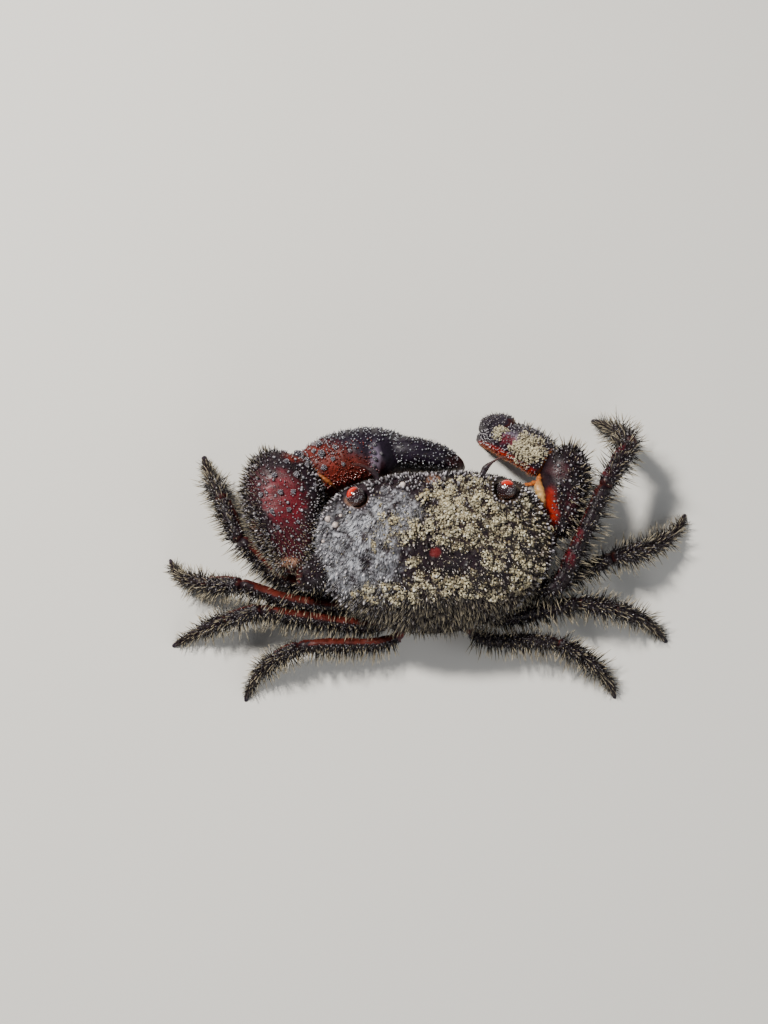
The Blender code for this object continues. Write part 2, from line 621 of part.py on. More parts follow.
def build_limbs():
    """The two claws and eight legs. Returns what makes each of their coats, by node."""
    chain("claw_left", BIG_CLAW, CLAW_SIDES, BIG_CLAW_COLOURS, ("palm",))
    chain("claw_right", SMALL_CLAW, CLAW_SIDES, SMALL_CLAW_COLOURS, ("palm",))
    coats = coat_makers("claw_left", BIG_CLAW, BIG_CLAW_COAT)
    coats |= coat_makers("claw_right", SMALL_CLAW, SMALL_CLAW_COAT)
    for name, (size, joints) in LEGS.items():
        articles = leg_articles(joints, size)
        chain(f"leg_{name}", articles, LIMB_SIDES, LEG_COLOURS, ("dactyl",))
        coats |= coat_makers(f"leg_{name}", articles, LEG_COAT)
    return coats


def main():
    remove(bpy.data.objects)
    build_body()
    build_face()
    coats = {"carapace": [shell_cones]} | build_limbs()
    grow_coat(coats)
    for obj in bpy.context.scene.objects:
        obj.data.shade_smooth()
        obj.data.set_sharp_from_angle(angle=np.radians(40))


main()
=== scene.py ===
"""The looks of a purple bristle crab: its shell plates, tubercles, bristles, eyes and encrusted grains.

All shapes are worked out in millimetres round the middle of the body and moved to the frame's place when
they are put into a mesh. The body is worked out level and then pitched nose up, as in life."""

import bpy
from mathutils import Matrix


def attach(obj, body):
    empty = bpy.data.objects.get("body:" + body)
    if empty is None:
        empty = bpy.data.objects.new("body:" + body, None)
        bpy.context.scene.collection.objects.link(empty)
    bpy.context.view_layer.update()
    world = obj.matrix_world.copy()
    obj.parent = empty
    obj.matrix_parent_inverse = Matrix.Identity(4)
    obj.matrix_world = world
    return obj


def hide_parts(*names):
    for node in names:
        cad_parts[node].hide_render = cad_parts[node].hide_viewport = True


bl_info = {
    "name": "Purple bristle crab",
    "version": (1, 0, 0),
    "blender": (4, 5, 0),
    "location": "3D View > Sidebar > Crab",
    "description": "Builds a life-size bristle crab, its coat and its finishes round a fixed frame",
    "category": "Object",
}

import math

import bpy
import numpy as np
from mathutils import Matrix, Vector

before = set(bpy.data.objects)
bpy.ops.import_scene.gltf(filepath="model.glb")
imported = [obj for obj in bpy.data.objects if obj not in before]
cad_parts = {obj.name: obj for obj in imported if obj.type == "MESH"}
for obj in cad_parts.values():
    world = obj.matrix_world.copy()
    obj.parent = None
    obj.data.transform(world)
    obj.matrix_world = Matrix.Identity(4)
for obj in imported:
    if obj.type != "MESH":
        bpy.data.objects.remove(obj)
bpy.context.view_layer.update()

# The body's place in the frame and the carapace's main sizes, in mm and degrees
SHIFT = np.array((1.0, 1.1, 0.0))
BODY_Z, BODY_PITCH = 27.0, 14.0
DOME_HEIGHT, DOME_POWER, FRONT_LIFT, REAR_DROP = 16.0, 2.4, 3.5, 2.0
BELLY_LEVEL = -14.5
EYE = np.array((25.1, 19.6, 6.5))
ORBIT_RADII = np.array((4.3, 3.8, 4.5))
STALK_RADIUS = 3.1
CORNEA_LOOKS = {"left": (-0.55, 0.70, 0.40), "right": (0.12, 0.86, 0.46)}
CORNEA_WIDE = {"left": 0.65, "right": 0.35}
MARGIN = (
    (0.0, 25.6), (9.5, 25.7), (18.6, 24.3), (27.2, 22.0), (32.4, 19.0), (36.2, 14.6), (38.9, 9.0),
    (40.0, 2.6), (39.6, -3.8), (37.3, -10.0), (31.8, -16.3), (24.3, -22.2), (12.6, -27.0), (0.0, -28.4),
)

# The side wall's rings under the carapace's edge, down to its closed base: share of the outline, level
WALL_RINGS = (
    (1.004, -0.9), (0.998, -1.9), (0.985, -3.0), (0.95, -4.6), (0.91, -6.2), (0.86, -7.85), (0.0, -7.85),
)
# The bare wart in the middle of the carapace, seen from above
WART = (0.2, 0.6)

# Steps that scatter places evenly: the golden angle on a disc or ball, and the plastic number's powers for
# the two directions of a limb
GOLDEN_ANGLE = 2.399963
PLASTIC_STEPS = (0.7548777, 0.5698403)
# The share of a piece's unwrap that one spike or grain takes
PATCH = 0.003
# What each group's random draws start from
SEEDS = {
    "carapace": 21, "large_claw": 22, "small_claw": 23, "eyes": 24, "face": 25, "sternum": 26, "legs": 30,
}

# The colours a user may change: sRGB hex and what each is
COLOURS = {
    "shell": ("#1c1117", "Dark purple-maroon of the shell"),
    # Painted reflection: the sky's bluish-grey sheen on the wet shell, also painted on the pale hairs there
    # and as glints on the large claw's tubercles
    "film": ("#b0b1b8", "Bluish-grey film on the rear left of the carapace"),
    "crust": ("#cfc4a2", "Cream sand grains stuck to the shell"),
    # Olive-brown silt, also painted on the lower sand grains as painted shade
    "silt": ("#4d4335", "Olive-brown silt between the grains"),
    "crimson": ("#570c17", "Bare crimson of the large claw"),
    "scarlet": ("#841c10", "Bare scarlet of joints and inner faces"),
    "orange": ("#5b180d", "Orange-red of the large palm"),
    "brick": ("#4c1b13", "Brick red of the legs' bare faces"),
    "ochre": ("#a85f2a", "Ochre joint skin"),
    "cream": ("#c3a468", "Pale yellow joint skin"),
    # Violet-black of the fingers and outer faces: on the palms' outer faces partly their own colour and
    # partly painted shade
    "violet": ("#1c1420", "Violet-black of the fingers and outer faces"),
    "lilac": ("#8d7f93", "Lilac spots"),
    # Pale tips of the tubercles: partly their own colour, partly painted glints of light on the wet tubercles
    "bead_tip_and_glint": ("#d3ccd2", "Pale tips of the tubercles"),
    "knob": ("#26222c", "Blue-black of the largest tubercles"),
    "bristle_root": ("#160f12", "Bristles at their roots"),
    "bristle_tip": ("#d3c4a4", "Bristles at their tips"),
    "cornea": ("#c02915", "Vermilion of the eyes"),
    "stalk": ("#26161a", "Brown-purple of the eyestalks"),
    "under": ("#b98a6e", "Pale underside"),
    "wart": ("#561819", "Bare red wart in the middle of the carapace"),
    "pearl": ("#dccac2", "Pinkish white nodules on the carapace"),
    "floor": ("#d9d6cf", "Pale floor"),
}


def linear(hex_colour):
    """Linear red, green and blue of an sRGB hex colour."""
    value = np.array([int(hex_colour[i : i + 2], 16) for i in (1, 3, 5)]) / 255
    return np.where(value <= 0.04045, value / 12.92, ((value + 0.055) / 1.055) ** 2.4)


class CrabColours(bpy.types.PropertyGroup):
    """The crab's colours."""

    __annotations__ = {
        name: bpy.props.FloatVectorProperty(
            name=name.replace("_", " ").capitalize(),
            description=text,
            default=linear(value).tolist(),
            subtype="COLOR",
            min=0.0,
            max=1.0,
        )
        for name, (value, text) in COLOURS.items()
    }


class CrabSizes(bpy.types.PropertyGroup):
    """How many tubercles and bristles the crab has, and how large they are."""

    shell_beads: bpy.props.IntProperty(
        name="Shell tubercles", description="Tubercles on the carapace", default=2700, min=100, max=4000
    )
    shell_grains: bpy.props.IntProperty(
        name="Stuck grains", description="Tries at placing sand grains on the carapace", default=17000, min=0
    )
    bead_radius: bpy.props.FloatProperty(
        name="Tubercle radius", description="Usual half width of a tubercle on the carapace",
        default=0.00052, min=0.0001, unit="LENGTH", subtype="DISTANCE",
    )
    bristle_length: bpy.props.FloatProperty(
        name="Bristle length", description="Usual length of a bristle on the legs",
        default=0.0051, min=0.001, unit="LENGTH", subtype="DISTANCE",
    )
    bristle_radius: bpy.props.FloatProperty(
        name="Bristle radius", description="Half width of a bristle at its root",
        default=0.00015, min=0.00005, unit="LENGTH", subtype="DISTANCE",
    )
    coat: bpy.props.FloatProperty(
        name="Coat", description="Share of the full number of bristles", default=1.0, min=0.05, max=1.5,
        subtype="FACTOR",
    )


def tone(name):
    """A colour of the crab, as the user has set it."""
    return np.array(getattr(bpy.context.scene.crab_colours, name)[:])


def size(name):
    """A length of the crab in mm."""
    return getattr(bpy.context.scene.crab_sizes, name) * 1000


def tinted(name, count, strength=1.0):
    """A colour of the crab times a strength, once for each of count spikes."""
    return np.tile(tone(name) * strength, (count, 1))


def mixed(colour, other, share):
    """A colour moved towards another by a share for each point."""
    return colour + (other - colour) * share[..., None]


# Curves and fields


def unit(vectors):
    """Vectors brought to the length 1."""
    vectors = np.asarray(vectors, float)
    return vectors / np.maximum(np.linalg.norm(vectors, axis=-1, keepdims=True), 1e-12)


def smooth(share):
    """0 below 0, 1 above 1, and between them 3 x^2 - 2 x^3."""
    share = np.clip(share, 0, 1)
    return share * share * (3 - 2 * share)


def circle(count):
    """Even angles once round."""
    return np.linspace(0, 2 * np.pi, count, endpoint=False)


def around(axis, turn):
    """Directions at right angles to an axis: the cosine and sine of turn on two that cross it."""
    across = unit(np.cross(axis, (0.3, 0.5, 0.8)))
    return np.cos(turn)[:, None] * across + np.sin(turn)[:, None] * np.cross(axis, across)


def spline(points, count=24):
    """A smooth curve through the points (Catmull-Rom), as close samples with every column carried along."""
    points = np.asarray(points, float)
    padded = np.vstack([2 * points[0] - points[1], points, 2 * points[-1] - points[-2]])
    u = np.linspace(0, 1, count, endpoint=False)[None, :, None]
    a, b, c, d = (padded[i : len(padded) - 3 + i, None, :] for i in range(4))
    curve = b + 0.5 * u * (c - a + u * (2 * a - 5 * b + 4 * c - d + u * (3 * (b - c) + d - a)))
    return np.vstack([curve.reshape(-1, points.shape[1]), points[-1:]])


def along(path, s):
    """The path's columns at distance s from its start, carried straight on past both ends, and its length."""
    steps = np.linalg.norm(np.diff(path[:, :3], axis=0), axis=1)
    reach = np.concatenate([[0.0], np.cumsum(steps)])
    inside = np.stack([np.interp(s, reach, column) for column in path.T], axis=-1)
    first, last = unit(path[1, :3] - path[0, :3]), unit(path[-1, :3] - path[-2, :3])
    inside[..., :3] += np.minimum(s, 0)[..., None] * first + np.maximum(s - reach[-1], 0)[..., None] * last
    return inside, reach[-1]


def ripple(points, wavelength, seed):
    """A smooth random field from about -1 to 1: the sum of nine sine waves in seeded directions."""
    random = np.random.default_rng(seed)
    waves = unit(random.normal(size=(9, 3))) * (2 * np.pi / wavelength) * random.uniform(0.7, 1.5, (9, 1))
    return np.sin(points @ waves.T + random.uniform(0, 2 * np.pi, 9)).sum(axis=-1) / 4.2


def mottled(points, *waves):
    """A shade round 1: the sum of ripples, each given by its strength, wavelength and seed."""
    return sum((strength * ripple(points, *wave) for strength, *wave in waves), 1.0)[..., None]


def oval(points, x, y, wide, deep, turn=0.0, soft=0.35):
    """How far each point lies in an oval seen from above, from 0 to 1, with a ragged soft edge."""
    angle = math.radians(turn)
    east, north = points[..., 0] - x, points[..., 1] - y
    u = (east * math.cos(angle) + north * math.sin(angle)) / wide
    v = (north * math.cos(angle) - east * math.sin(angle)) / deep
    edge = np.hypot(u, v) + 0.16 * ripple(points, 3.1, 31) + 0.08 * ripple(points, 1.2, 32)
    return smooth((1 + soft - edge) / (2 * soft))


# The body's and the limbs' surfaces, as functions of two parameters


def pitched(points):
    """Points of the level body, turned nose up and raised to its place."""
    angle = np.radians(BODY_PITCH)
    x, y, z = np.moveaxis(np.asarray(points, float), -1, 0)
    ahead = y * np.cos(angle) - z * np.sin(angle)
    above = y * np.sin(angle) + z * np.cos(angle)
    return np.stack([x, ahead, above + BODY_Z], axis=-1)


def turned(directions):
    """Directions of the level body, turned nose up."""
    return pitched(directions) - pitched(np.zeros(3))


def margin_radius(theta):
    """How far the carapace's edge is from its middle, in the direction theta from straight ahead."""
    half = np.array(MARGIN)
    ring = np.vstack([half, (half * (-1, 1))[-2:0:-1], half[:1]])
    samples = spline(np.vstack([ring[-2:-1], ring, ring[1:2]]), 8)
    angle = np.unwrap(np.arctan2(samples[:, 0], samples[:, 1]))
    return np.interp(np.mod(theta, 2 * np.pi), angle, np.hypot(samples[:, 0], samples[:, 1]))


def shell_place(x, y):
    """A place seen from above, as its share of the way to the carapace's edge and its direction."""
    theta = np.arctan2(x, y)
    return np.hypot(x, y) / margin_radius(theta), theta


def from_eyes(x, y):
    """How far a place seen from above is from the nearer eye, where 1 is the edge of its orbit."""
    return np.hypot((np.abs(x) - EYE[0]) / ORBIT_RADII[0], (y - EYE[1]) / ORBIT_RADII[1])


def groove(x, y, points, width):
    """A valley along a line of points: exp of minus the squared distance to it over the squared width."""
    line = np.array(points, float)
    start, step = line[:-1], np.diff(line, axis=0)
    place = np.stack([x, y], axis=-1)[..., None, :]
    share = np.clip(((place - start) * step).sum(-1) / (step**2).sum(-1), 0, 1)
    distance = np.linalg.norm(place - start - share[..., None] * step, axis=-1).min(axis=-1)
    return np.exp(-((distance / width) ** 2))


def carapace_point(rho, theta):
    """The carapace's upper skin at the share rho of the way from its middle to its edge: a dome that falls
    off as (1 - rho^2.4)^0.8, over an edge lifted at the front and dropped at the rear. Valleys part its
    regions, ripples of three lengths roughen it, and an ellipsoid with a raised rim is pressed in for each
    eye."""
    reach = margin_radius(theta) * rho
    x, y = reach * np.sin(theta), reach * np.cos(theta)
    edge = np.where(np.cos(theta) > 0, FRONT_LIFT, REAR_DROP) * np.cos(theta) * np.abs(np.cos(theta))
    level = DOME_HEIGHT * np.clip(1 - rho**DOME_POWER, 0, 1) ** 0.8 + edge * rho**2
    side = np.abs(x)
    neck = groove(side, y, ((24, 9), (17, 5), (10, -1), (6, -8), (7, -15)), 2.0)
    middle = groove(side, y, ((0, 25.5), (0, 17)), 1.6) + groove(side, y, ((4, 21), (9, 14), (15, 12)), 1.5)
    place = np.stack([x, y, level], axis=-1)
    inner = smooth((1 - rho) / 0.1)
    level = level - inner * (0.9 * neck + 0.5 * middle)
    level = level + inner * (0.34 * ripple(place, 8.0, 5) + 0.16 * ripple(place, 3.2, 6))
    level = level + 0.05 * ripple(place, 1.3, 7)
    from_eye = from_eyes(x, y)
    rim = 0.7 * np.exp(-(((from_eye - 1.25) / 0.2) ** 2))
    cup = 7.6 - ORBIT_RADII[2] * np.sqrt(np.clip(1 - from_eye**2, 0, 1))
    level = level + rim
    return np.stack([x, y, np.where(from_eye < 1, np.minimum(level, cup), level)], axis=-1)


def wall_point(share, level, theta):
    """A ring of the side wall under the carapace's edge, a share of the edge's own outline at one level."""
    reach = margin_radius(theta) * share
    return np.stack([reach * np.sin(theta), reach * np.cos(theta), np.full_like(theta, level)], axis=-1)


def limb(points, widths, depths, ends, up=(0, 0, 1), power=2.2):
    """A limb's article: a smooth path that carries its half width and half depth, the length over which each
    end is rounded, what is up for it, and the power of its rounded section."""
    path = spline([(*point, width, depth) for point, width, depth in zip(points, widths, depths)])
    return {"path": path, "length": along(path, np.zeros(1))[1], "ends": ends, "up": up, "power": power}


def limb_point(part, s, theta):
    """A point of a limb's skin, s mm along it and theta round it: the path's point there, plus a rounded
    oval of the half width sideways and half depth upwards, which closes as a quarter ellipse over the last
    few mm of each end. Ripples of two lengths roughen it, and it is pressed flat where it meets the floor."""
    path, length = part["path"], part["length"]
    here = along(path, s)[0]
    forward = unit(along(path, s + 0.5)[0][..., :3] - along(path, s - 0.5)[0][..., :3])
    side = unit(np.cross(forward, np.asarray(part["up"], float)))
    rise = np.cross(side, forward)
    close = np.ones_like(s, dtype=float)
    for start, dome in ((s, part["ends"][0]), (length - s, part["ends"][1])):
        close = close * np.sqrt(np.clip(1 - np.clip(1 - start / dome, 0, 1) ** 2, 0, 1))
    power = 2 / part["power"]
    across = np.sign(np.cos(theta)) * np.abs(np.cos(theta)) ** power
    upward = np.sign(np.sin(theta)) * np.abs(np.sin(theta)) ** power
    outward = (here[..., 3] * across)[..., None] * side + (here[..., 4] * upward)[..., None] * rise
    point = here[..., :3] + outward * close[..., None]
    rough = part.get("rough", 0.2) * (ripple(point, 6.0, 8) + 0.5 * ripple(point, 2.2, 9)) * close
    point = point + unit(outward) * rough[..., None]
    point[..., 2] = np.maximum(point[..., 2], 0.0)
    return point


def limb_skin(part, s, theta):
    """A limb's points and their outward normals, by differences."""
    here = limb_point(part, s, theta)
    ahead, beside = limb_point(part, s + 0.2, theta), limb_point(part, s, theta + 0.04)
    return here, unit(np.cross(ahead - here, beside - here))


def limb_grid(part, rounded, rings, sides):
    """A limb's grid of s and theta, with closer rings over its rounded ends."""
    length, (near, far) = part["length"], part["ends"]
    curve = 1 - np.cos(np.linspace(0, np.pi / 2, rounded))
    middle = np.linspace(near, length - far, rings)[1:-1]
    s = np.concatenate([near * curve, middle, (length - far * curve)[::-1]])
    return np.meshgrid(s, circle(sides), indexing="ij")


def axis_frame(part, s):
    """The middle of a limb at s and its forward direction."""
    ahead, behind = along(part["path"], s + 0.5)[0][..., :3], along(part["path"], s - 0.5)[0][..., :3]
    return (ahead + behind) / 2, unit(ahead - behind)


# Meshes


def tube_faces(rings, sides):
    """Triangles of a grid of closed rings whose first and last ring are single points."""
    ring = np.arange((rings - 2) * sides).reshape(rings - 2, sides) + 1
    beside = np.roll(ring, -1, axis=1)
    quads = np.stack([ring[:-1], beside[:-1], beside[1:], ring[1:]], axis=-1).reshape(-1, 4)
    first, last = np.zeros(sides, int), np.full(sides, (rings - 2) * sides + 1)
    fans = [np.stack([first, beside[0], ring[0]], -1), np.stack([last, ring[-1], beside[-1]], -1)]
    return np.concatenate([quads[:, [0, 1, 2]], quads[:, [0, 2, 3]], *fans])


def outward_faces(points, faces):
    """The same triangles, turned round if the closed surface they make is inside out."""
    return faces if np.linalg.det(points[faces]).sum() > 0 else faces[:, ::-1]


def ring_points(grid):
    """The values of a grid of rings as one list, where the first and the last ring are single points."""
    return np.concatenate([grid[:1, 0], grid[1:-1].reshape(-1, *grid.shape[2:]), grid[-1:, 0]])


def tube(grid):
    """Points and triangles of a grid of rings that starts and ends in a point."""
    points = ring_points(grid)
    return points, outward_faces(points, tube_faces(*grid.shape[:2]))


def piece(name, points, faces, paint, finish, nodes=(), uv=None, smooth_shade=True):
    """A finished object: mm to metres, its paint as a point attribute, its finish by name, and the CAD nodes
    it stands for. uv holds one pair for each point. No point is left under the floor."""
    points = np.maximum(points, (-np.inf, -np.inf, 0.0))
    mesh = bpy.data.meshes.new(name)
    mesh.vertices.add(len(points))
    mesh.vertices.foreach_set("co", ((points + SHIFT) / 1000).astype(np.float32).ravel())
    mesh.loops.add(faces.size)
    mesh.loops.foreach_set("vertex_index", faces.astype(np.int32).ravel())
    mesh.polygons.add(len(faces))
    mesh.polygons.foreach_set("loop_start", np.arange(0, faces.size, 3, dtype=np.int32))
    mesh.update(calc_edges=True)
    mesh.polygons.foreach_set("use_smooth", np.full(len(faces), smooth_shade))
    colour = mesh.attributes.new("Paint", "FLOAT_COLOR", "POINT")
    paint = np.c_[np.clip(paint, 0, 1), np.ones(len(points))]
    colour.data.foreach_set("color", paint.astype(np.float32).ravel())
    if uv is not None:
        layer = mesh.uv_layers.new(name="OFBake")
        layer.data.foreach_set("uv", uv[faces.ravel()].astype(np.float32).ravel())
    mesh.materials.append(get_finish(finish))
    obj = bpy.data.objects.new(name, mesh)
    bpy.context.scene.collection.objects.link(obj)
    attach(obj, "root")
    if nodes:
        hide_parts(*nodes)
    return obj


# Each kind of spike: its profile (share of the height, share of the radius), how many sides it has, from
# and to which share of its height its colour turns to the tip's, and how far its tip bends over
KINDS = {
    "bead": (((-0.3, 1.0), (0.3, 0.94), (0.68, 0.7), (0.92, 0.34)), 6, 0.35, 1.0, 0.0),
    "cone": (((-0.25, 1.15), (0.3, 0.82), (0.76, 0.36)), 6, 0.3, 0.85, 0.08),
    "thorn": (((-0.3, 1.1), (0.2, 0.85), (0.6, 0.42)), 5, 0.25, 0.85, 0.1),
    "bristle": (((-0.1, 1.0), (0.4, 0.9), (0.78, 0.62)), 4, 0.45, 1.0, 0.14),
    "hair": (((-0.1, 1.0), (0.5, 0.75)), 3, 0.35, 1.0, 0.35),
}
HARD = ("bead", "cone", "thorn")


def flattened(*values):
    """Points, triangles, paint and uv that are kept spike by spike, as plain lists."""
    return tuple(value.reshape(-1, value.shape[-1]) for value in values)


def spikes(kind, root, normal, lean, height, radius, colours, uv, random):
    """Closed tapered spikes, as points, triangles, paint and uv. Each is a profile of rings along a line that
    starts under the skin at its root and bends over by the square of the way along it. colours holds those
    of the roots and of the tips, and uv each root's place on the skin's unwrap."""
    profile, sides, low, high, bend = KINDS[kind]
    t, wide = np.array(profile).T
    count, rings = len(root), len(profile)
    direction = unit(normal + lean)
    across = unit(np.cross(direction, (0.31, 0.52, 0.79)))
    rise = np.cross(direction, across)
    spin = random.uniform(0, 2 * np.pi, (count, 1)) + circle(sides)
    ring = np.cos(spin)[..., None] * across[:, None] + np.sin(spin)[..., None] * rise[:, None]
    over = unit(lean + 0.4 * random.normal(size=(count, 3)) - normal * 0.3)
    way = np.append(t, 1.0)
    course = way[:, None] * direction[:, None] + bend * (way**2)[:, None] * over[:, None]
    line = root[:, None] + course * height[:, None, None]
    widths = wide * np.broadcast_to(radius, count)[:, None]
    rim = line[:, :-1, None] + widths[..., None, None] * ring[:, None]
    points = np.concatenate([rim.reshape(count, -1, 3), line[:, -1:]], axis=1)
    index = np.arange(rings * sides).reshape(rings, sides)
    beside = np.roll(index, -1, axis=1)
    quads = np.stack([index[:-1], beside[:-1], beside[1:], index[1:]], axis=-1).reshape(-1, 4)
    tip = np.stack([index[-1], beside[-1], np.full(sides, rings * sides)], -1)
    base = np.stack([np.full(sides - 2, 0), np.arange(2, sides), np.arange(1, sides - 1)], -1)
    one = outward_faces(points[0], np.concatenate([quads[:, [0, 1, 2]], quads[:, [0, 2, 3]], tip, base]))
    faces = one[None] + (np.arange(count) * points.shape[1])[:, None, None]
    share = np.append(np.repeat(t, sides), 1.0)
    mix = smooth((share - low) / (high - low))[None, :, None]
    shade = random.uniform(0.75, 1.2, (count, 1, 1))
    paint = (colours[0][:, None] * (1 - mix) + colours[1][:, None] * mix) * shade
    turn = np.append(np.tile(np.arange(sides) / sides, rings), 0.5)
    patch = np.stack([turn, np.clip(share, 0, 1)], -1) * PATCH
    return flattened(points, faces, paint, uv[:, None] + patch)


def joined(parts):
    """Several sets of points, triangles, paint and uv as one."""
    points, faces, paint, uv = zip(*parts)
    starts = np.cumsum([0] + [len(part) for part in points[:-1]])
    faces = [part + start for part, start in zip(faces, starts)]
    return tuple(np.concatenate(values) for values in (points, faces, paint, uv))


def coat_piece(name, parts, finish, smooth_shade=True):
    """One object of all the spikes or grains in parts."""
    points, faces, paint, uv = joined(parts)
    return piece(name, points, faces, paint, finish, uv=uv, smooth_shade=smooth_shade)


def lumps(root, radius, colours, uv, random):
    """Sand grains: icosahedra whose corners are pulled in and out at random, as points, triangles, paint and
    uv."""
    golden = (1 + 5**0.5) / 2
    corner = unit([
        (-1, golden, 0), (1, golden, 0), (-1, -golden, 0), (1, -golden, 0), (0, -1, golden), (0, 1, golden),
        (0, -1, -golden), (0, 1, -golden), (golden, 0, -1), (golden, 0, 1), (-golden, 0, -1), (-golden, 0, 1),
    ])
    one = np.array([
        (0, 11, 5), (0, 5, 1), (0, 1, 7), (0, 7, 10), (0, 10, 11), (1, 5, 9), (5, 11, 4), (11, 10, 2),
        (10, 7, 6), (7, 1, 8), (3, 9, 4), (3, 4, 2), (3, 2, 6), (3, 6, 8), (3, 8, 9), (4, 9, 5), (2, 4, 11),
        (6, 2, 10), (8, 6, 7), (9, 8, 1),
    ])
    count = len(root)
    stretch = random.uniform(0.7, 1.3, (count, 1, 3)) * random.uniform(0.82, 1.15, (count, 12, 1))
    points = root[:, None] + corner * stretch * radius[:, None, None]
    faces = outward_faces(corner, one)[None] + (np.arange(count) * 12)[:, None, None]
    paint = np.repeat(colours[:, None], 12, axis=1) * random.uniform(0.8, 1.15, (count, 12, 1))
    patch = (corner[:, :2] * 0.5 + 0.5) * PATCH
    return flattened(points, faces, paint, uv[:, None] + patch)


# Finishes


def add(tree, kind, inputs=None, **settings):
    """Adds a node with its settings. An input is a value or the socket that feeds it."""
    node = tree.nodes.new("ShaderNode" + kind)
    for name, value in settings.items():
        setattr(node, name, value)
    for name, value in (inputs or {}).items():
        if isinstance(value, bpy.types.NodeSocket):
            tree.links.new(value, node.inputs[name])
        else:
            node.inputs[name].default_value = value
    return node


def finish(name, grain, bump, roughness, spread, mottle, fixed):
    """A finish over the piece's own paint. A noise of the grain's size in mm darkens and lightens it by the
    share mottle, moves its roughness by spread, and raises it by bump in mm. fixed holds the shader's
    constants."""
    material = bpy.data.materials.new(name)
    material.use_nodes = True
    tree = material.node_tree
    shader = tree.nodes["Principled BSDF"]
    place = add(tree, "TexCoord").outputs["Object"]
    paint = add(tree, "Attribute", attribute_name="Paint").outputs["Color"]
    fine = add(tree, "TexNoise", {"Vector": place, "Scale": 1000 / grain, "Detail": 3.0, "Roughness": 0.6})
    broad = add(tree, "TexNoise", {"Vector": place, "Scale": 200 / grain, "Detail": 2.0})
    both = add(tree, "Math", {0: fine.outputs["Fac"], 1: broad.outputs["Fac"]}, operation="ADD")
    value = add(tree, "MapRange", {"Value": both.outputs[0], "From Min": 0.7, "From Max": 1.3,
                                   "To Min": 1 - mottle, "To Max": 1 + mottle})
    varied = add(tree, "HueSaturation", {"Color": paint, "Value": value.outputs["Result"]})
    gloss = add(tree, "MapRange", {"Value": fine.outputs["Fac"], "From Min": 0.35, "From Max": 0.65,
                                   "To Min": roughness - spread, "To Max": roughness + spread})
    relief = add(tree, "Bump", {"Height": fine.outputs["Fac"], "Distance": bump / 1000, "Strength": 1.0})
    tree.links.new(varied.outputs["Color"], shader.inputs["Base Color"])
    tree.links.new(gloss.outputs["Result"], shader.inputs["Roughness"])
    tree.links.new(relief.outputs["Normal"], shader.inputs["Normal"])
    for socket, constant in fixed.items():
        shader.inputs[socket].default_value = constant
    return material


# Each finish's name, grain, bump, roughness, spread and mottle, and the shader's constants
FINISHES = {
    # Calcified shell, wet: small pits break up a wide gloss
    "shell": ("wet calcified shell", 0.5, 0.1, 0.46, 0.14, 0.35, {
        "IOR": 1.5, "Specular IOR Level": 0.2, "Coat Weight": 0.03, "Coat Roughness": 0.15,
    }),
    # Polished tubercle: a smooth hard bead with a sharp small highlight
    "bead": ("polished tubercle", 0.35, 0.01, 0.28, 0.08, 0.15, {
        "IOR": 1.56, "Coat Weight": 0.2, "Coat Roughness": 0.08,
    }),
    # Chitin bristle: stiff, slightly glossy along its side
    "bristle": ("chitin bristle", 0.4, 0.005, 0.45, 0.08, 0.15, {"IOR": 1.5, "Specular IOR Level": 0.35}),
    # Sand and lime grains: dry-looking and matt, each a little different
    "grain": ("stuck sand grain", 0.25, 0.03, 0.85, 0.1, 0.25, {"IOR": 1.5}),
    # Joint skin: soft, waxy, lets a little light in
    "skin": ("arthrodial joint skin", 0.8, 0.04, 0.45, 0.1, 0.18, {
        "IOR": 1.45, "Subsurface Weight": 0.15, "Subsurface Scale": 0.001,
    }),
    # Eyestalk: wet and dark, with a clear small highlight
    "stalk": ("wet eyestalk", 0.35, 0.02, 0.24, 0.06, 0.3, {
        "IOR": 1.5, "Coat Weight": 0.5, "Coat Roughness": 0.08,
    }),
    # Cornea: a clear smooth coat over vermilion
    "cornea": ("facetted cornea", 0.12, 0.004, 0.12, 0.04, 0.12, {
        "IOR": 1.5, "Coat Weight": 1.0, "Coat Roughness": 0.03,
    }),
}
made = {}


def get_finish(name):
    """The finish of that name, made when it is first asked for."""
    if name not in made:
        made[name] = finish(*FINISHES[name])
    return made[name]


# The carapace and the body


def shell_tubes():
    """The carapace as rings: the upper skin from its middle to its edge, then the side wall to its base."""
    theta = circle(360)
    rho = np.concatenate([[0.0], 1 - np.linspace(0.985, 0.0, 118) ** 1.25])
    upper = carapace_point(*np.meshgrid(rho, theta, indexing="ij"))
    lower = np.stack([wall_point(share, level, theta) for share, level in WALL_RINGS])
    lower[:-1] += 0.12 * ripple(lower[:-1], 2.5, 10)[..., None]
    return np.concatenate([upper, lower])


# Where sand grains cover the carapace, seen from above: x, y, half width, half depth, turn, share
CRUSTED = (
    (13, 14, 13, 9, 0, 1.9), (20, 8, 11, 9, 0, 1.1), (8, 18, 9, 5, 0, 1.1), (33, 5, 6, 12, 10, 0.8),
    (27, -3, 11, 7, 0, 0.75), (25, -12, 12, 5, 0, 0.75), (12, -11, 13, 5, 0, 0.5), (-2, -11, 9, 5, 0, 0.55),
    (-18, -12.5, 11, 4, -12, 0.8), (-6, -14, 12, 3, 0, 0.6), (-6.4, -1.8, 2.0, 1.7, 0, 1.0),
    (-20, 6, 9, 4.5, 0, 0.45), (27, 18, 8, 5, 0, 0.8), (-10, 9, 7, 5, 0, 0.5), (10, 4, 6, 4, 0, 0.9),
)
BARE = (
    (*WART, 2.6, 2.4, 0, 1.5), (-30, 2, 9, 13, 0, 0.5), (9, -4, 8, 3.5, 10, 0.45), (0, -29, 36, 11, 0, 1.3),
)


def cover(points, ovals):
    """The greatest share of the ovals at each point, seen from above."""
    flat = points * (1, 1, 0)
    return np.max([oval(flat, *place[:5]) * place[5] for place in ovals], axis=0)


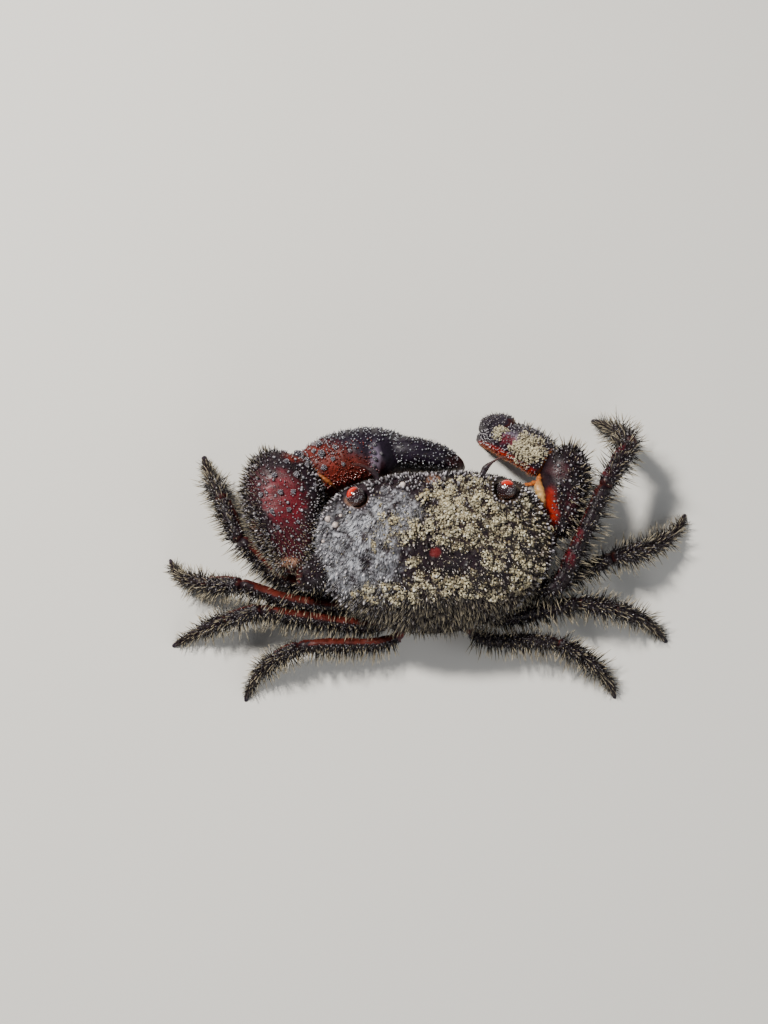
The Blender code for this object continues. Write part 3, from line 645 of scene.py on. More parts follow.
def clumped(points):
    """Where grains heap up, from 0 in the gaps to 1 on a clump 2 to 4 mm wide."""
    flat = points * (1, 1, 0)
    return smooth(0.5 + 0.9 * ripple(flat, 4.2, 11) + 0.6 * ripple(flat, 1.9, 12))


def crusted(points):
    """How thickly sand grains cover the carapace, from 0 to 1, at points seen from above."""
    thick = np.clip(cover(points, CRUSTED) - cover(points, BARE), 0, 1.8)
    return np.clip(thick * (0.06 + 0.94 * clumped(points)) + 0.02, 0, 1)


def shell_paint(points):
    """Dark purple shell with a painted sky reflection, a bluish-grey sheen, at the left, silt under the
    crusted places and a bare red wart.
    """
    flat = points * (1, 1, 0)
    colour = tone("shell") * mottled(points, (0.28, 6.0, 13), (0.25, 1.7, 14))
    swerve = np.stack([ripple(flat, 9.0, 60), ripple(flat, 7.0, 61), flat[..., 2]], -1)
    bent = flat * (1.0, 1.5, 0) + 2.4 * swerve
    streaks = 0.6 * ripple(bent, 5.2, 15) + 0.35 * ripple(bent, 2.3, 19) + 0.25 * ripple(flat, 1.5, 62)
    # Painted reflection: where the sky's sheen lies on the wet shell at the rear left and the front left,
    # broken into streaks
    film = oval(flat, -27, 1, 13, 14, 20) * 0.95 + oval(flat, -13, 14, 8, 7) * 0.7
    socket = smooth((1.06 - from_eyes(flat[..., 0], flat[..., 1])) / 0.2)
    socket = socket * smooth((EYE[1] + 0.4 - flat[..., 1]) / 2.4) * (points[..., 2] > 3)
    for share, name in (
        (film * smooth(0.55 + 0.85 * streaks), "film"),
        (smooth(crusted(flat) * 1.6) * 0.55, "silt"),
        (oval(flat, *WART, 1.9, 1.7, soft=0.2), "wart"),
        (oval(flat, 0.8, 24.2, 2.4, 1.4) * 0.3 * smooth(points[..., 2] - 3.6), "under"),
        (socket * np.where(flat[..., 0] < 0, 0.45, 0.2), "under"),
    ):
        colour = mixed(colour, tone(name), np.clip(share, 0, 1))
    return colour


def shell_scatter(rho, theta):
    """Points of the carapace's upper skin with their outward normals, by differences, both still level."""
    here = carapace_point(rho, theta)
    out, round_it = carapace_point(rho + 0.006, theta), carapace_point(rho, theta + 0.006)
    normal = unit(np.cross(round_it - here, out - here))
    return here, normal * np.where(normal[:, 2:] < -0.2, -1, 1)


def wall_scatter(count, random):
    """Random places on the side wall with their outward normals, and how far down the wall each is."""
    theta, down = random.uniform(0, 2 * np.pi, count), random.random(count)
    edge = carapace_point(np.ones(count), theta)[:, 2]
    level = edge - (edge + 7.5) * down
    shares, levels = np.array(WALL_RINGS[-2::-1]).T
    here = wall_point(np.interp(level, levels, shares), 0.0, theta) + level[:, None] * (0, 0, 1)
    return here, unit(np.stack([np.sin(theta), np.cos(theta), -0.15 - 0.5 * down], -1)), down


def wall_uv(level):
    """The wall's own unwrap: a band below the upper skin's, round the body by its level."""
    around = np.arctan2(level[..., 0], level[..., 1]) / (2 * np.pi) + 0.5
    return np.stack([0.02 + 0.95 * around, 0.02 + np.clip(-level[..., 2], 0, 8) * 0.015], -1)


def sunflower(count, reach, random, jitter=0.03):
    """Even places on the unit disc: the square root of the index outwards, the golden angle round it."""
    index = np.arange(count)
    rho = reach * np.sqrt((index + 0.5) / count) + random.normal(0, jitter / 3, count)
    theta = index * GOLDEN_ANGLE + random.normal(0, jitter, count)
    return np.clip(rho, 0.01, 0.995), theta


def shell_uv(level):
    """The carapace's own unwrap: its outline from above, which keeps its upper skin's shape."""
    return level[..., :2] / 95 + 0.5


def clear_of_eyes(level, gap):
    """Which places of the carapace are further from both eyes than gap orbits."""
    return from_eyes(level[:, 0], level[:, 1]) > gap


def body_spikes(kind, level, normal, lean, height, radius, tip, random, root=None, uv=None, depth=0.0):
    """Spikes of the level body, pitched with it. Their roots start depth under the skin, and have the
    shell's colour and unwrap there if no others are given."""
    root = shell_paint(level) if root is None else root
    uv = shell_uv(level) if uv is None else uv
    start = pitched(level - normal * depth)
    return spikes(kind, start, turned(normal), turned(lean), height, radius, (root, tip), uv, random)


def orbit_beads(random):
    """A ring of beads round the rim of each orbit, where the shell goes round it."""
    count = 26
    turn = circle(count)
    rings = []
    for side in (-1, 1):
        wide = 1.19 + random.uniform(-0.04, 0.08, count)
        x = side * EYE[0] + wide * ORBIT_RADII[0] * np.cos(turn)
        y = EYE[1] + wide * ORBIT_RADII[1] * np.sin(turn)
        rho, theta = shell_place(x, y)
        level, normal = shell_scatter(rho[rho < 0.99], theta[rho < 0.99])
        radius = random.uniform(0.42, 0.72, len(level))
        # The orbit beads' pale tips are partly painted glints
        tip = tone("bead_tip_and_glint") * random.uniform(0.4, 1.0, (len(level), 1))
        rings.append(body_spikes("cone", level, normal, level * 0, radius * 1.8, radius, tip, random))
    return rings


# Pale nodules, seen from above: x, y, half width in mm
NODULES = ((-34.6, 12.2, 1.3), (-32.2, 10.4, 1.25), (-9.4, 22.6, 1.25), (-36.6, 4.9, 0.7), (-30.4, 13.4, 0.7))


def shell_nodules(random):
    """Smooth pale domes near the carapace's front and left edge."""
    x, y, radius = np.array(NODULES).T
    level, normal = shell_scatter(*shell_place(x, y))
    pale = tinted("pearl", len(x))
    return body_spikes("bead", level, normal, level * 0, radius * 1.2, radius, pale, random, pale * 0.6)


def shell_coat(random):
    """The carapace's tubercles: small sharp cones with pale tips, partly their own colour and partly painted
    glints, all over it, some larger, a ring of them round each orbit, pale nodules, larger cones along its
    front and side edge, and small ones on its wall."""
    count = bpy.context.scene.crab_sizes.shell_beads
    rho, theta = sunflower(count, 0.985, random, 0.09)
    level, normal = shell_scatter(rho, theta)
    keep = clear_of_eyes(level, 1.3) & (np.hypot(level[:, 0], level[:, 1]) > 1.9)
    level, normal, rho = level[keep], normal[keep], rho[keep]
    many = len(level)
    big = random.random(many) ** 4
    radius = size("bead_radius") * (0.5 + 0.95 * big + 0.35 * smooth((rho - 0.72) / 0.2))
    height = radius * random.uniform(1.5, 2.9, many)
    rear = smooth((-12 - level[:, 1:2]) / 10)
    # Pale tips, partly the tubercles' own colour and partly painted glints, darker towards the rear
    tip = tone("bead_tip_and_glint") * random.uniform(0.08, 1.0, (many, 1)) ** 1.8 * (1 - 0.6 * rear)
    tip = mixed(tip, tone("crust") * 0.6, smooth(crusted(level) * 2) * random.random(many))
    tan = smooth((level[:, :1] + 14) / 12) * smooth((16 - level[:, 1:2]) / 8)
    tip = tip * (1 - tan * (0.1, 0.18, 0.34))
    lean = unit(np.array((0, -0.5, 0.1))) * np.where(level[:, 1:2] < 12, 0.5, 0.0)
    beads = [body_spikes("cone", level, normal, lean, height, radius, tip, random, depth=0.1)]
    beads += orbit_beads(random)
    beads.append(shell_nodules(random))

    count = 210
    theta = np.linspace(-2.2, 2.2, count) + random.normal(0, 0.014, count)
    level, _ = shell_scatter(random.uniform(0.955, 0.992, count), theta)
    normal = unit(np.stack([np.sin(theta), np.cos(theta), random.uniform(-0.1, 1.3, count)], -1))
    keep = clear_of_eyes(level, 1.15)
    level, normal = level[keep], normal[keep]
    # The edge cones' pale tips are partly painted glints
    tip = tone("bead_tip_and_glint") * random.uniform(0.2, 1.0, (len(level), 1))
    height = random.uniform(0.9, 2.1, len(level))
    beads.append(body_spikes("cone", level, normal, level * 0, height, height * 0.34, tip, random))

    count = 1300
    level, normal, _ = wall_scatter(count, random)
    radius = random.uniform(0.2, 0.5, count)
    # The wall cones' pale tips are partly painted glints
    tip = tone("bead_tip_and_glint") * random.uniform(0.1, 0.6, (count, 1))
    uv = wall_uv(level)
    beads.append(body_spikes("cone", level, normal, level * 0, radius * 2, radius, tip, random, uv=uv))
    coat_piece("carapace_tubercles", beads, "bead")


def shell_hairs(random):
    """Short dark hairs between the tubercles, pale matted ones where the painted sky sheen lies, their tips
    painted in its colour three times as bright as a painted reflection, bristles with pale tips that point
    back along the rear, and hairs that point down on the side wall."""
    hairs = []
    rows = (
        # kind, tries, usual length, half width, the tip's colour and strength, the power that darkens most
        ("hair", 9000, 1.3, 0.075, "bristle_tip", 0.7, 1.7),
        # The pale matted hairs' tips take the painted sky sheen, three times as bright: a painted reflection
        ("hair", 10500, 2.2, 0.085, "film", 3.0, 1.2),
        ("bristle", 5200, 2.3, 0.095, "bristle_tip", 0.95, 1.7),
    )
    for index, (kind, count, length, radius, name, strength, power) in enumerate(rows):
        level, normal = shell_scatter(*sunflower(count, 1.0, random, 0.1))
        flat = level * (1, 1, 0)
        rear = smooth((-9 - level[:, 1]) / 9)
        film = np.maximum(oval(flat, -28, 1, 13, 15, 20), 0.7 * oval(flat, -13, 14, 8, 7))
        chance = (0.35 + 0.3 * rear, film * 0.9, rear * 0.9 + 0.03)[index]
        keep = (random.random(count) < chance) & clear_of_eyes(level, 1.3)
        keep &= np.hypot(level[:, 0] - WART[0], level[:, 1] - WART[1] - 0.8) > 2.1
        level, normal, flat, rear = level[keep], normal[keep], flat[keep], rear[keep]
        many = len(level)
        swirl = 0.5 * ripple(flat, 14.0, 50) - 0.35 * (level[:, 0] < -8)
        back = unit(np.stack([swirl + level[:, 0] * 0.02, np.full(many, -1.0), np.full(many, -0.1)], -1))
        lean = back * (0.9 + 0.5 * rear + (name == "film") * 0.9)[:, None]
        height = length * random.uniform(0.55, 1.4, many) * (0.8 + 0.45 * rear)
        root = tinted("bristle_root", many, 1.3)
        tip = tinted(name, many, strength) * random.uniform(0.2, 1.05, (many, 1)) ** power
        hairs.append(body_spikes(kind, level, normal, lean, height, radius, tip, random, root))

    count = 2800
    level, normal, down = wall_scatter(count, random)
    root = tinted("bristle_root", count, 1.3)
    tip = tone("bristle_tip") * random.uniform(0.1, 0.5, (count, 1))
    lean = (-0.5 - down)[:, None] * (0, 0, 1)
    height = random.uniform(0.8, 2.2, count)
    hairs.append(body_spikes("hair", level, normal, lean, height, 0.08, tip, random, root, wall_uv(level)))
    coat_piece("carapace_bristles", hairs, "bristle")


# Sand clumps that stand out, seen from above: x, y, half width in mm
CLUMPS = ((-6.4, -1.8, 1.5), (-27.5, 19.5, 0.6), (-21, -10.6, 1.5), (-27.2, -12.6, 1.7), (29, -5, 1.8))


def shell_grains(random):
    """Sand and lime grains stuck between the tubercles: loose ones as thick as crusted says, and mounds of
    them, each a paraboloid 1 to 2.4 mm in half width whose upper grains are the palest, as the lower ones and
    those near the skin are painted towards the silt colour as painted shade."""
    scattered = bpy.context.scene.crab_sizes.shell_grains
    level, normal = shell_scatter(*sunflower(scattered, 0.97, random, 0.1))
    thick = crusted(level)
    keep = (random.random(scattered) < thick * 0.75) & clear_of_eyes(level, 1.25)
    level, normal = level[keep], normal[keep]
    lift, radius = random.uniform(0.0, 0.5, (len(level), 1)), random.uniform(0.15, 0.34, len(level))
    high = lift / 0.8

    mounds = 2100
    middle, up = shell_scatter(*sunflower(mounds, 0.95, random, 0.3))
    keep = (random.random(mounds) < crusted(middle) ** 1.3 * 1.1) & clear_of_eyes(middle, 1.7)
    middle, up = middle[keep], up[keep]
    named = np.array([place[:2] for place in CLUMPS])
    more, more_up = shell_scatter(*shell_place(*named.T))
    middle, up = np.concatenate([middle, more]), np.concatenate([up, more_up])
    wide = 0.7 + 1.5 * random.random(len(middle) - len(CLUMPS)) ** 2.2
    wide = np.append(wide, [place[2] for place in CLUMPS])
    count = np.maximum((10 * wide**1.6).astype(int), 6)
    wide, middle, up = (np.repeat(values, count, axis=0) for values in (wide, middle, up))
    out, turn = np.sqrt(random.random(len(wide))), random.uniform(0, 2 * np.pi, len(wide))
    rise = wide * (1 - out**2) * 0.78 * random.uniform(0.45, 1.0, len(wide))
    heaped = middle + around(up, turn) * (out * wide)[:, None] + up * (rise - 0.1)[:, None]

    level = np.concatenate([level + normal * lift, heaped])
    high = np.concatenate([high, np.clip(rise / 0.85, 0, 1)[:, None]])
    radius = np.concatenate([radius, random.uniform(0.2, 0.46, len(wide))])
    many = len(level)
    # Painted shade: grains low in a mound or near the skin turn to the silt colour
    share = np.clip(0.95 - 0.95 * high + random.uniform(-0.35, 0.35, (many, 1)), 0, 1)
    colour = (tone("crust") * (1 - share) + tone("silt") * share) * random.uniform(0.62, 1.2, (many, 1))
    colour = np.where(random.random((many, 1)) < 0.15, colour * (0.85, 0.76, 0.62), colour)
    colour = np.where(random.random((many, 1)) < 0.05, np.array((0.7, 0.67, 0.6)), colour)
    grains = lumps(pitched(level), radius, colour, shell_uv(level), random)
    coat_piece("carapace_grains", [grains], "grain", smooth_shade=False)


def make_carapace():
    """The carapace's plate and its coat."""
    points, faces = tube(shell_tubes())
    paint = shell_paint(points)
    piece("carapace_plate", pitched(points), faces, paint, "shell", ("carapace",))
    random = np.random.default_rng(SEEDS["carapace"])
    shell_coat(random)
    shell_hairs(random)
    shell_grains(random)


# The limbs' own shapes


def between(a, b, share):
    """The place a share of the way from a to b."""
    return tuple(np.array(a, float) + (np.array(b, float) - np.array(a, float)) * share)


LEGS = {
    "left_1": (1.0, (
        (-17, -3, 12), (-32, -9.3, 12), (-50, -6.6, 13), (-66, 8.3, 20.5), (-71.5, 22.5, 18),
        (-76, 31, 5.5), (-79, 41, 0),
    )),
    "left_2": (0.9, (
        (-16, -10, 10), (-27, -15.6, 10), (-47, -13.9, 12.3), (-66.8, -7, 17), (-78, -6, 12.5),
        (-87, -3, 4.8), (-92, 4.5, 0),
    )),
    "left_3": (0.85, (
        (-13, -17, 9.5), (-20, -22.6, 9), (-45, -19.2, 11.5), (-60.4, -16, 14.5), (-72, -18.5, 10.5),
        (-82, -21.5, 4.6), (-91.5, -25.5, 0),
    )),
    "left_4": (0.78, (
        (-10, -22, 8.5), (-17, -28.4, 8), (-36, -28.6, 9.5), (-48, -28.8, 11), (-56, -32.5, 8.5),
        (-62.5, -37.5, 4), (-67, -45.5, 0),
    )),
    "right_1": (1.0, (
        (17, -4, 13), (31, -11.5, 16), (41, -13.2, 19), (48.5, -1.6, 23), (59.3, 19.4, 29), (69.5, 34, 24),
        (66.5, 42, 9), (60, 47.5, 0),
    )),
    "right_2": (0.9, (
        (16, -9, 9.5), (30, -14.4, 8.5), (45, -10, 10), (62, -3.5, 15), (74, -1, 11), (84, 4, 4.8),
        (90, 12, 0),
    )),
    "right_3": (0.85, (
        (13, -17, 9.5), (20, -22.6, 9.5), (40, -19.8, 12), (50, -18.5, 13.5), (62, -21, 11), (73, -25, 5),
        (80, -32, 0),
    )),
    "right_4": (0.78, (
        (10, -22, 8.5), (16, -28.8, 8), (33, -30.5, 9), (42, -32, 10.5), (50, -36.5, 8.5),
        (57, -42.5, 4.5), (61, -50.5, 0),
    )),
}

# The walking legs' half widths and half depths in mm, along each article, at size 1
LEG_WIDTHS = {"root": (2.4, 2.5), "merus": 2.75, "knee": 2.5, "carpus": (2.3, 3.1, 2.9),
              "propodus": (2.1, 2.6, 2.2), "dactyl": (1.9, 1.5, 0.75)}
LEG_DEPTHS = {"root": (3.0, 3.4), "merus": 4.9, "knee": 4.0, "carpus": (2.8, 3.9, 3.5),
              "propodus": (2.6, 3.3, 2.6), "dactyl": (2.2, 1.8, 0.8)}


def leg_articles(joints, scale):
    """Merus with its coxa, carpus, propodus and dactyl, of the same paths and sizes as the solids."""
    *root, knee, wrist, ankle, tip = joints
    count = len(root) - 2
    widths = [*LEG_WIDTHS["root"], *[LEG_WIDTHS["merus"]] * count, LEG_WIDTHS["knee"]]
    depths = [*LEG_DEPTHS["root"], *[LEG_DEPTHS["merus"]] * count, LEG_DEPTHS["knee"]]
    outwards = unit(np.array(ankle, float) - np.array(wrist, float))
    middle = np.array(between(ankle, tip, 0.5)) + outwards * 1.2
    below = np.array(tip, float) + unit(np.array(tip, float) - middle) * 0.8
    paths = {
        "carpus": [between(knee, wrist, -0.1), between(knee, wrist, 0.5), wrist],
        "propodus": [between(wrist, ankle, -0.08), between(wrist, ankle, 0.5), ankle],
        "dactyl": [between(ankle, tip, -0.08), tuple(middle), tuple(below)],
    }
    ends = {"carpus": (1.5, 2.4), "propodus": (1.5, 2.0), "dactyl": (1.4, 0.8)}
    articles = {"merus": limb([*root, knee], np.array(widths) * scale, np.array(depths) * scale, (2.0, 2.6))}
    for part, path in paths.items():
        wide, deep = np.array(LEG_WIDTHS[part]) * scale, np.array(LEG_DEPTHS[part]) * scale
        articles[part] = limb(path, wide, deep, ends[part])
    return articles


BIG_CLAW = {
    "merus": limb(
        [(-14, 11, 17), (-30, 2, 20.5), (-40, -4.4, 24), (-47, -4.4, 24.5)],
        (4.5, 6.0, 6.3, 5.5), (4.5, 5.8, 6.2, 5.6), (3.0, 4.0),
    ),
    "carpus": limb(
        [(-46.5, -5, 24.3), (-48, 3, 24), (-49.4, 12, 23.5), (-49.8, 21.5, 22.5), (-49.2, 29.5, 21),
         (-47.6, 35.5, 19.5)],
        (4.5, 8.6, 12.2, 14.2, 12.2, 7.0), (5.0, 8.6, 11.6, 12.8, 12.0, 9.0), (3.0, 5.0), power=2.5,
    ),
    "palm": limb(
        [(-43, 25.5, 17.0), (-33, 31.5, 14.8), (-20.5, 34.6, 13.9), (-10, 35.3, 10), (0, 34, 6.0),
         (9, 31.5, 4.6)],
        (9.0, 11.0, 10.4, 7.2, 4.6, 2.0), (12.0, 15.0, 14.6, 9.6, 5.2, 2.2), (4.0, 2.6), power=2.5,
    ),
    "finger": limb(
        [(-13, 35.5, 19.5), (-6, 35.2, 21.5), (3, 33.6, 19), (9.5, 31.6, 13), (11.5, 30.6, 8.4)],
        (5.0, 5.0, 4.2, 3.0, 1.4), (4.5, 5.0, 4.4, 3.0, 1.4), (2.5, 1.6),
    ),
}
SMALL_CLAW = {
    "merus": limb(
        [(14, 11, 16), (28, 6, 15), (38, 5, 14.5), (43, 6, 15)],
        (4.2, 5.2, 5.0, 4.4), (4.2, 5.4, 5.2, 4.8), (3.0, 3.0),
    ),
    "carpus": limb(
        [(42.8, 4.5, 15.5), (44.2, 11, 19), (45.5, 19, 21), (46.2, 26.5, 22), (44, 33.5, 21.5)],
        (3.6, 6.4, 8.0, 8.2, 4.6), (5.0, 8.4, 10.2, 9.8, 6.4), (2.4, 3.6), power=2.4,
    ),
    "palm": limb(
        [(42, 27, 22.5), (36.2, 33.4, 19.4), (29, 39.4, 12.6), (23.6, 41.8, 6.5), (20.5, 42.8, 1.6),
         (19.6, 43.2, -0.6)],
        (5.4, 7.6, 7.2, 4.4, 2.5, 1.4), (5.6, 6.6, 6.2, 4.2, 2.4, 1.3), (3.0, 1.2),
        up=(0.35, 0.75, 0.55), power=2.4,
    ),
    "finger": limb(
        [(29.8, 43, 17.6), (26.2, 45.4, 14.4), (22.8, 46.5, 9.6), (20.7, 46.6, 4.4), (19.9, 45.9, 1.4)],
        (3.2, 3.2, 2.7, 1.9, 1.0), (2.9, 3.1, 2.7, 1.9, 1.0), (1.8, 1.0), up=(0.35, 0.75, 0.55),
    ),
}

# The paint of each claw article: its own colour, then ovals seen from above (x, y, half width, half depth,
# turn, colour, strength), then bands (middle angle, half angle, from and to which share of the length,
# colour, strength)
CLAW_PAINT = {
    "claw_left_merus": ("shell", (), ((0, 360, -0.1, 0.1, "brick", 0.6), (0, 360, 0.93, 1.1, "brick", 0.7))),
    "claw_left_carpus": (
        "shell",
        ((-49.3, 18.5, 6.6, 8.6, 15, "crimson", 0.95), (-47.4, 5.0, 6.5, 9.0, 0, "crimson", 0.4),
         (-44.5, 34.5, 4.0, 3.0, 0, "orange", 0.9), (-57.5, 24.0, 4.0, 6.0, 0, "crimson", 0.25),
         (-60.0, 6.0, 3.0, 5.0, 0, "brick", 0.4), (-61.5, 10.0, 2.0, 2.0, 0, "under", 0.5),
         # Painted highlight: the pale oval at the carpus's base on the next line
         (-49.5, -2.5, 4.5, 1.5, 0, "under", 0.7)),
        ((0, 360, -0.1, 0.05, "brick", 0.6),),
    ),
    # The large palm: its orange upper side and its violet-black outer face are partly its own colours and
    # partly painted sunlight and shade
    "claw_left_palm": (
        "violet",
        ((-33.5, 31.8, 12.5, 6.4, -30, "orange", 0.95), (-24.0, 29.0, 8.0, 4.0, 0, "brick", 0.7),
         (-31.5, 24.0, 9.0, 4.0, -10, "orange", 0.75), (-18.2, 32.5, 1.8, 5.0, 0, "lilac", 0.55)),
        ((0, 42, 0.0, 0.7, "orange", 0.6), (0, 360, 0.85, 1.1, "brick", 0.35)),
    ),
    "claw_left_finger": (
        "violet", ((11.0, 31.0, 4.0, 3.0, 0, "brick", 0.5),), ((0, 360, -0.1, 0.08, "brick", 0.6),),
    ),
    "claw_right_merus": ("shell", (), ((0, 360, 0.9, 1.1, "brick", 0.7),)),
    "claw_right_carpus": (
        "shell",
        ((39.8, 10.6, 2.8, 7.6, -5, "scarlet", 1.0), (43.5, 24.5, 3.6, 3.0, 0, "crimson", 0.25),
         (48.0, 12.0, 3.0, 5.0, 0, "crimson", 0.3)),
        ((0, 360, -0.1, 0.06, "cream", 0.8),),
    ),
    # The small palm's violet-black outer face is partly its own colour and partly painted shade
    "claw_right_palm": (
        "violet",
        ((34.0, 34.0, 6.0, 5.2, -35, "silt", 0.8), (28.6, 38.2, 3.2, 2.6, -35, "lilac", 0.4),
         (27.6, 37.8, 3.0, 1.9, -35, "crimson", 0.9)),
        ((228, 34, 0.04, 0.95, "scarlet", 0.95),),
    ),
    "claw_right_finger": ("violet", (), ((0, 360, -0.1, 0.08, "brick", 0.7),)),
}


def seam(points, other, reach):
    """1 where a point touches the other article's skin, falling to 0 at the distance reach in mm."""
    s, theta = np.meshgrid(np.linspace(0, other["length"], 70), np.linspace(0, 2 * np.pi, 60), indexing="ij")
    skin = limb_point(other, s, theta).reshape(-1, 3)
    groups = np.array_split(points.reshape(-1, 3), 24)
    away = np.concatenate([np.sqrt(((group[:, None] - skin) ** 2).sum(-1).min(1)) for group in groups])
    return smooth(1.4 * (1 - away.reshape(points.shape[:-1]) / reach))


def limb_paint(points, share, theta, base, ovals, bands):
    """An article's colour: its own, varied by two ripples, with ovals seen from above and bands round it."""
    shade = mottled(points, (0.26, 7.0, 16), (0.26, 2.3, 17))
    colour = tone(base) * shade
    for *place, name, strength in ovals:
        colour = mixed(colour, tone(name) * shade, oval(points * (1, 1, 0), *place) * strength)
    ragged = share + 0.04 * ripple(points, 2.0, 18)
    for middle, half, first, last, name, strength in bands:
        off = np.abs(np.mod(np.degrees(theta) - middle + 180, 360) - 180)
        lengthways = smooth((ragged - first) / 0.05) * smooth((last - ragged) / 0.05)
        inside = smooth((half + 8 - off) / 16) * lengthways
        colour = mixed(colour, tone(name) * shade, inside * strength)
    return colour


def article_piece(node, part, paint, before=None):
    """One article's shell plate. Where it leaves the article before it, a line of joint skin shows."""
    s, theta = limb_grid(part, 9, max(12, int(part["length"] / 0.7)), 48)
    grid = limb_point(part, s, theta)
    colour = limb_paint(grid, s / part["length"], theta, *paint)
    if before:
        colour = mixed(colour, tone("ochre") * 0.7, 0.75 * seam(grid, before, 1.1))
    points, faces = tube(grid)
    piece(f"{node}_plate", points, faces, ring_points(colour), "shell", (node,))


def spread(part, count, first, last, low, high, random):
    """Even, slightly ragged places on an article between two shares of its length and two angles: steps of
    the plastic number's powers in both directions, with their normals and forward directions."""
    index = np.arange(count)
    off = random.normal(0, 0.3 / np.sqrt(count), (2, count))
    share = first + (last - first) * np.mod(index * PLASTIC_STEPS[0] + random.random() + off[0], 1)
    theta = np.radians(low + (high - low) * np.mod(index * PLASTIC_STEPS[1] + random.random() + off[1], 1))
    s = share * part["length"]
    return *limb_skin(part, s, theta), axis_frame(part, s)[1], share, theta


def cell_uv(cell, share, theta):
    """Places in one of the four cells of a limb's unwrap: share of the length, and share of a turn."""
    place = np.stack([share, np.mod(theta / (2 * np.pi), 1)], -1)
    return (np.array((cell % 2, cell // 2)) + 0.05 + 0.9 * place) / 2


# The colours of each kind's roots and tips, of which None is the plate's own
COAT_COLOURS = {
    # Tubercle tips take the pale tip colour, which is partly painted glints
    "bead": ("knob", "bead_tip_and_glint"), "cone": (None, "bead_tip_and_glint"), "thorn": ("bristle_root", "bead_tip_and_glint"),
    "bristle": ("bristle_root", "bristle_tip"), "hair": ("bristle_root", "bristle_tip"),
}


def article_coat(part, cell, rows, paint, random):
    """An article's spikes, split into beads and bristles. Each row gives the kind, how many, from and to
    which share of the length and angle, the height and radius, the lean to the far end, the tip's strength,
    and colours where they aren't the kind's own. cell is the article's place in its limb's unwrap."""
    beads, bristles = [], []
    for kind, count, first, last, low, high, height, radius, lean, strength, *colours in rows:
        root_name, tip_name = colours or COAT_COLOURS[kind]
        if kind not in HARD:
            count = int(count * bpy.context.scene.crab_sizes.coat)
        here, normal, forward, share, theta = spread(part, count, first, last, low, high, random)
        size_of = random.uniform(0.65, 1.35, count)
        tall = height * size_of * random.uniform(0.85, 1.15, count)
        keep = (here[:, 2] > 0.4) & (here[:, 2] + normal[:, 2] * tall > 0.3)
        root = tinted(root_name, count) if root_name else limb_paint(here, share, theta, *paint)
        tip = tinted(tip_name, count, strength) * random.uniform(0.7, 1.1, (count, 1))
        wide = radius * (size_of if kind in HARD else np.ones(count))
        values = (here, normal, forward * lean, tall, wide, root, tip, cell_uv(cell, share, theta))
        here, normal, over, tall, wide, root, tip, uv = (value[keep] for value in values)
        made_spikes = spikes(kind, here, normal, over, tall, wide, (root, tip), uv, random)
        (beads if kind in HARD else bristles).append(made_spikes)
    return beads, bristles


def nearest(part, x, y):
    """The place (s, theta) on an article's upper side nearest to a point seen from above."""
    s, theta = np.meshgrid(np.linspace(0, part["length"], 120), np.linspace(0, 2 * np.pi, 120), indexing="ij")
    grid = limb_point(part, s, theta)
    off = (grid[..., 0] - x) ** 2 + (grid[..., 1] - y) ** 2 - 0.02 * grid[..., 2]
    best = np.unravel_index(np.argmin(off), off.shape)
    return s[best], theta[best]


def knobs(part, cell, places, random):
    """The largest tubercles, at their own places seen from above: (x, y, radius). Each is a dark dome,
    painted lighter towards its top as a painted highlight, that bears a spiral of small granules with pale
    tips, partly painted glints."""
    parts = []
    for x, y, radius in places:
        s, theta = (np.array([value]) for value in nearest(part, x, y))
        here, normal = limb_skin(part, s, theta)
        uv = cell_uv(cell, s / part["length"], theta)
        wide = np.array([radius])
        # Painted highlight: the dome's top 1.6 times as light as its base
        colours = (tinted("knob", 1), tinted("knob", 1, 1.6))
        parts.append(spikes("bead", here, normal, normal * 0, wide * 1.1, wide, colours, uv, random))
        count = int(8 + 10 * radius)
        index = np.arange(count)
        tilt = 1.25 * np.sqrt((index + 0.5) / count)[:, None]
        out = np.cos(tilt) * normal + np.sin(tilt) * around(normal, index * GOLDEN_ANGLE)
        small = random.uniform(0.17, 0.26, count) * radius**0.5
        roots = here + out * radius * 0.86 + normal * 0.15 * radius
        # The granules' pale tips are partly painted glints
        colours = (tinted("knob", count), tone("bead_tip_and_glint") * random.uniform(0.25, 0.8, (count, 1)))
        uv = np.tile(uv, (count, 1))
        parts.append(spikes("bead", roots, out, out * 0, small * 1.3, small, colours, uv, random))
    return parts


def limb_pieces(name, articles, paints, coats, slot, random, more_knobs=None, seams=()):
    """A limb's plates, one object for each article, and its tubercles and bristles, one object each."""
    beads, bristles, before = [], [], None
    for cell, (part_name, part) in enumerate(articles.items()):
        node = f"{name}_{part_name}"
        paint = paints[node]
        article_piece(node, part, paint, before if part_name in seams else None)
        more_beads, more_bristles = article_coat(part, cell, coats.get(part_name, ()), paint, random)
        beads += more_beads + knobs(part, cell, (more_knobs or {}).get(part_name, ()), random)
        bristles += more_bristles
        before = part
    if beads:
        coat_piece(f"{name}_tubercles", beads, "bead")
    if bristles:
        coat_piece(f"{name}_bristles", bristles, "bristle")


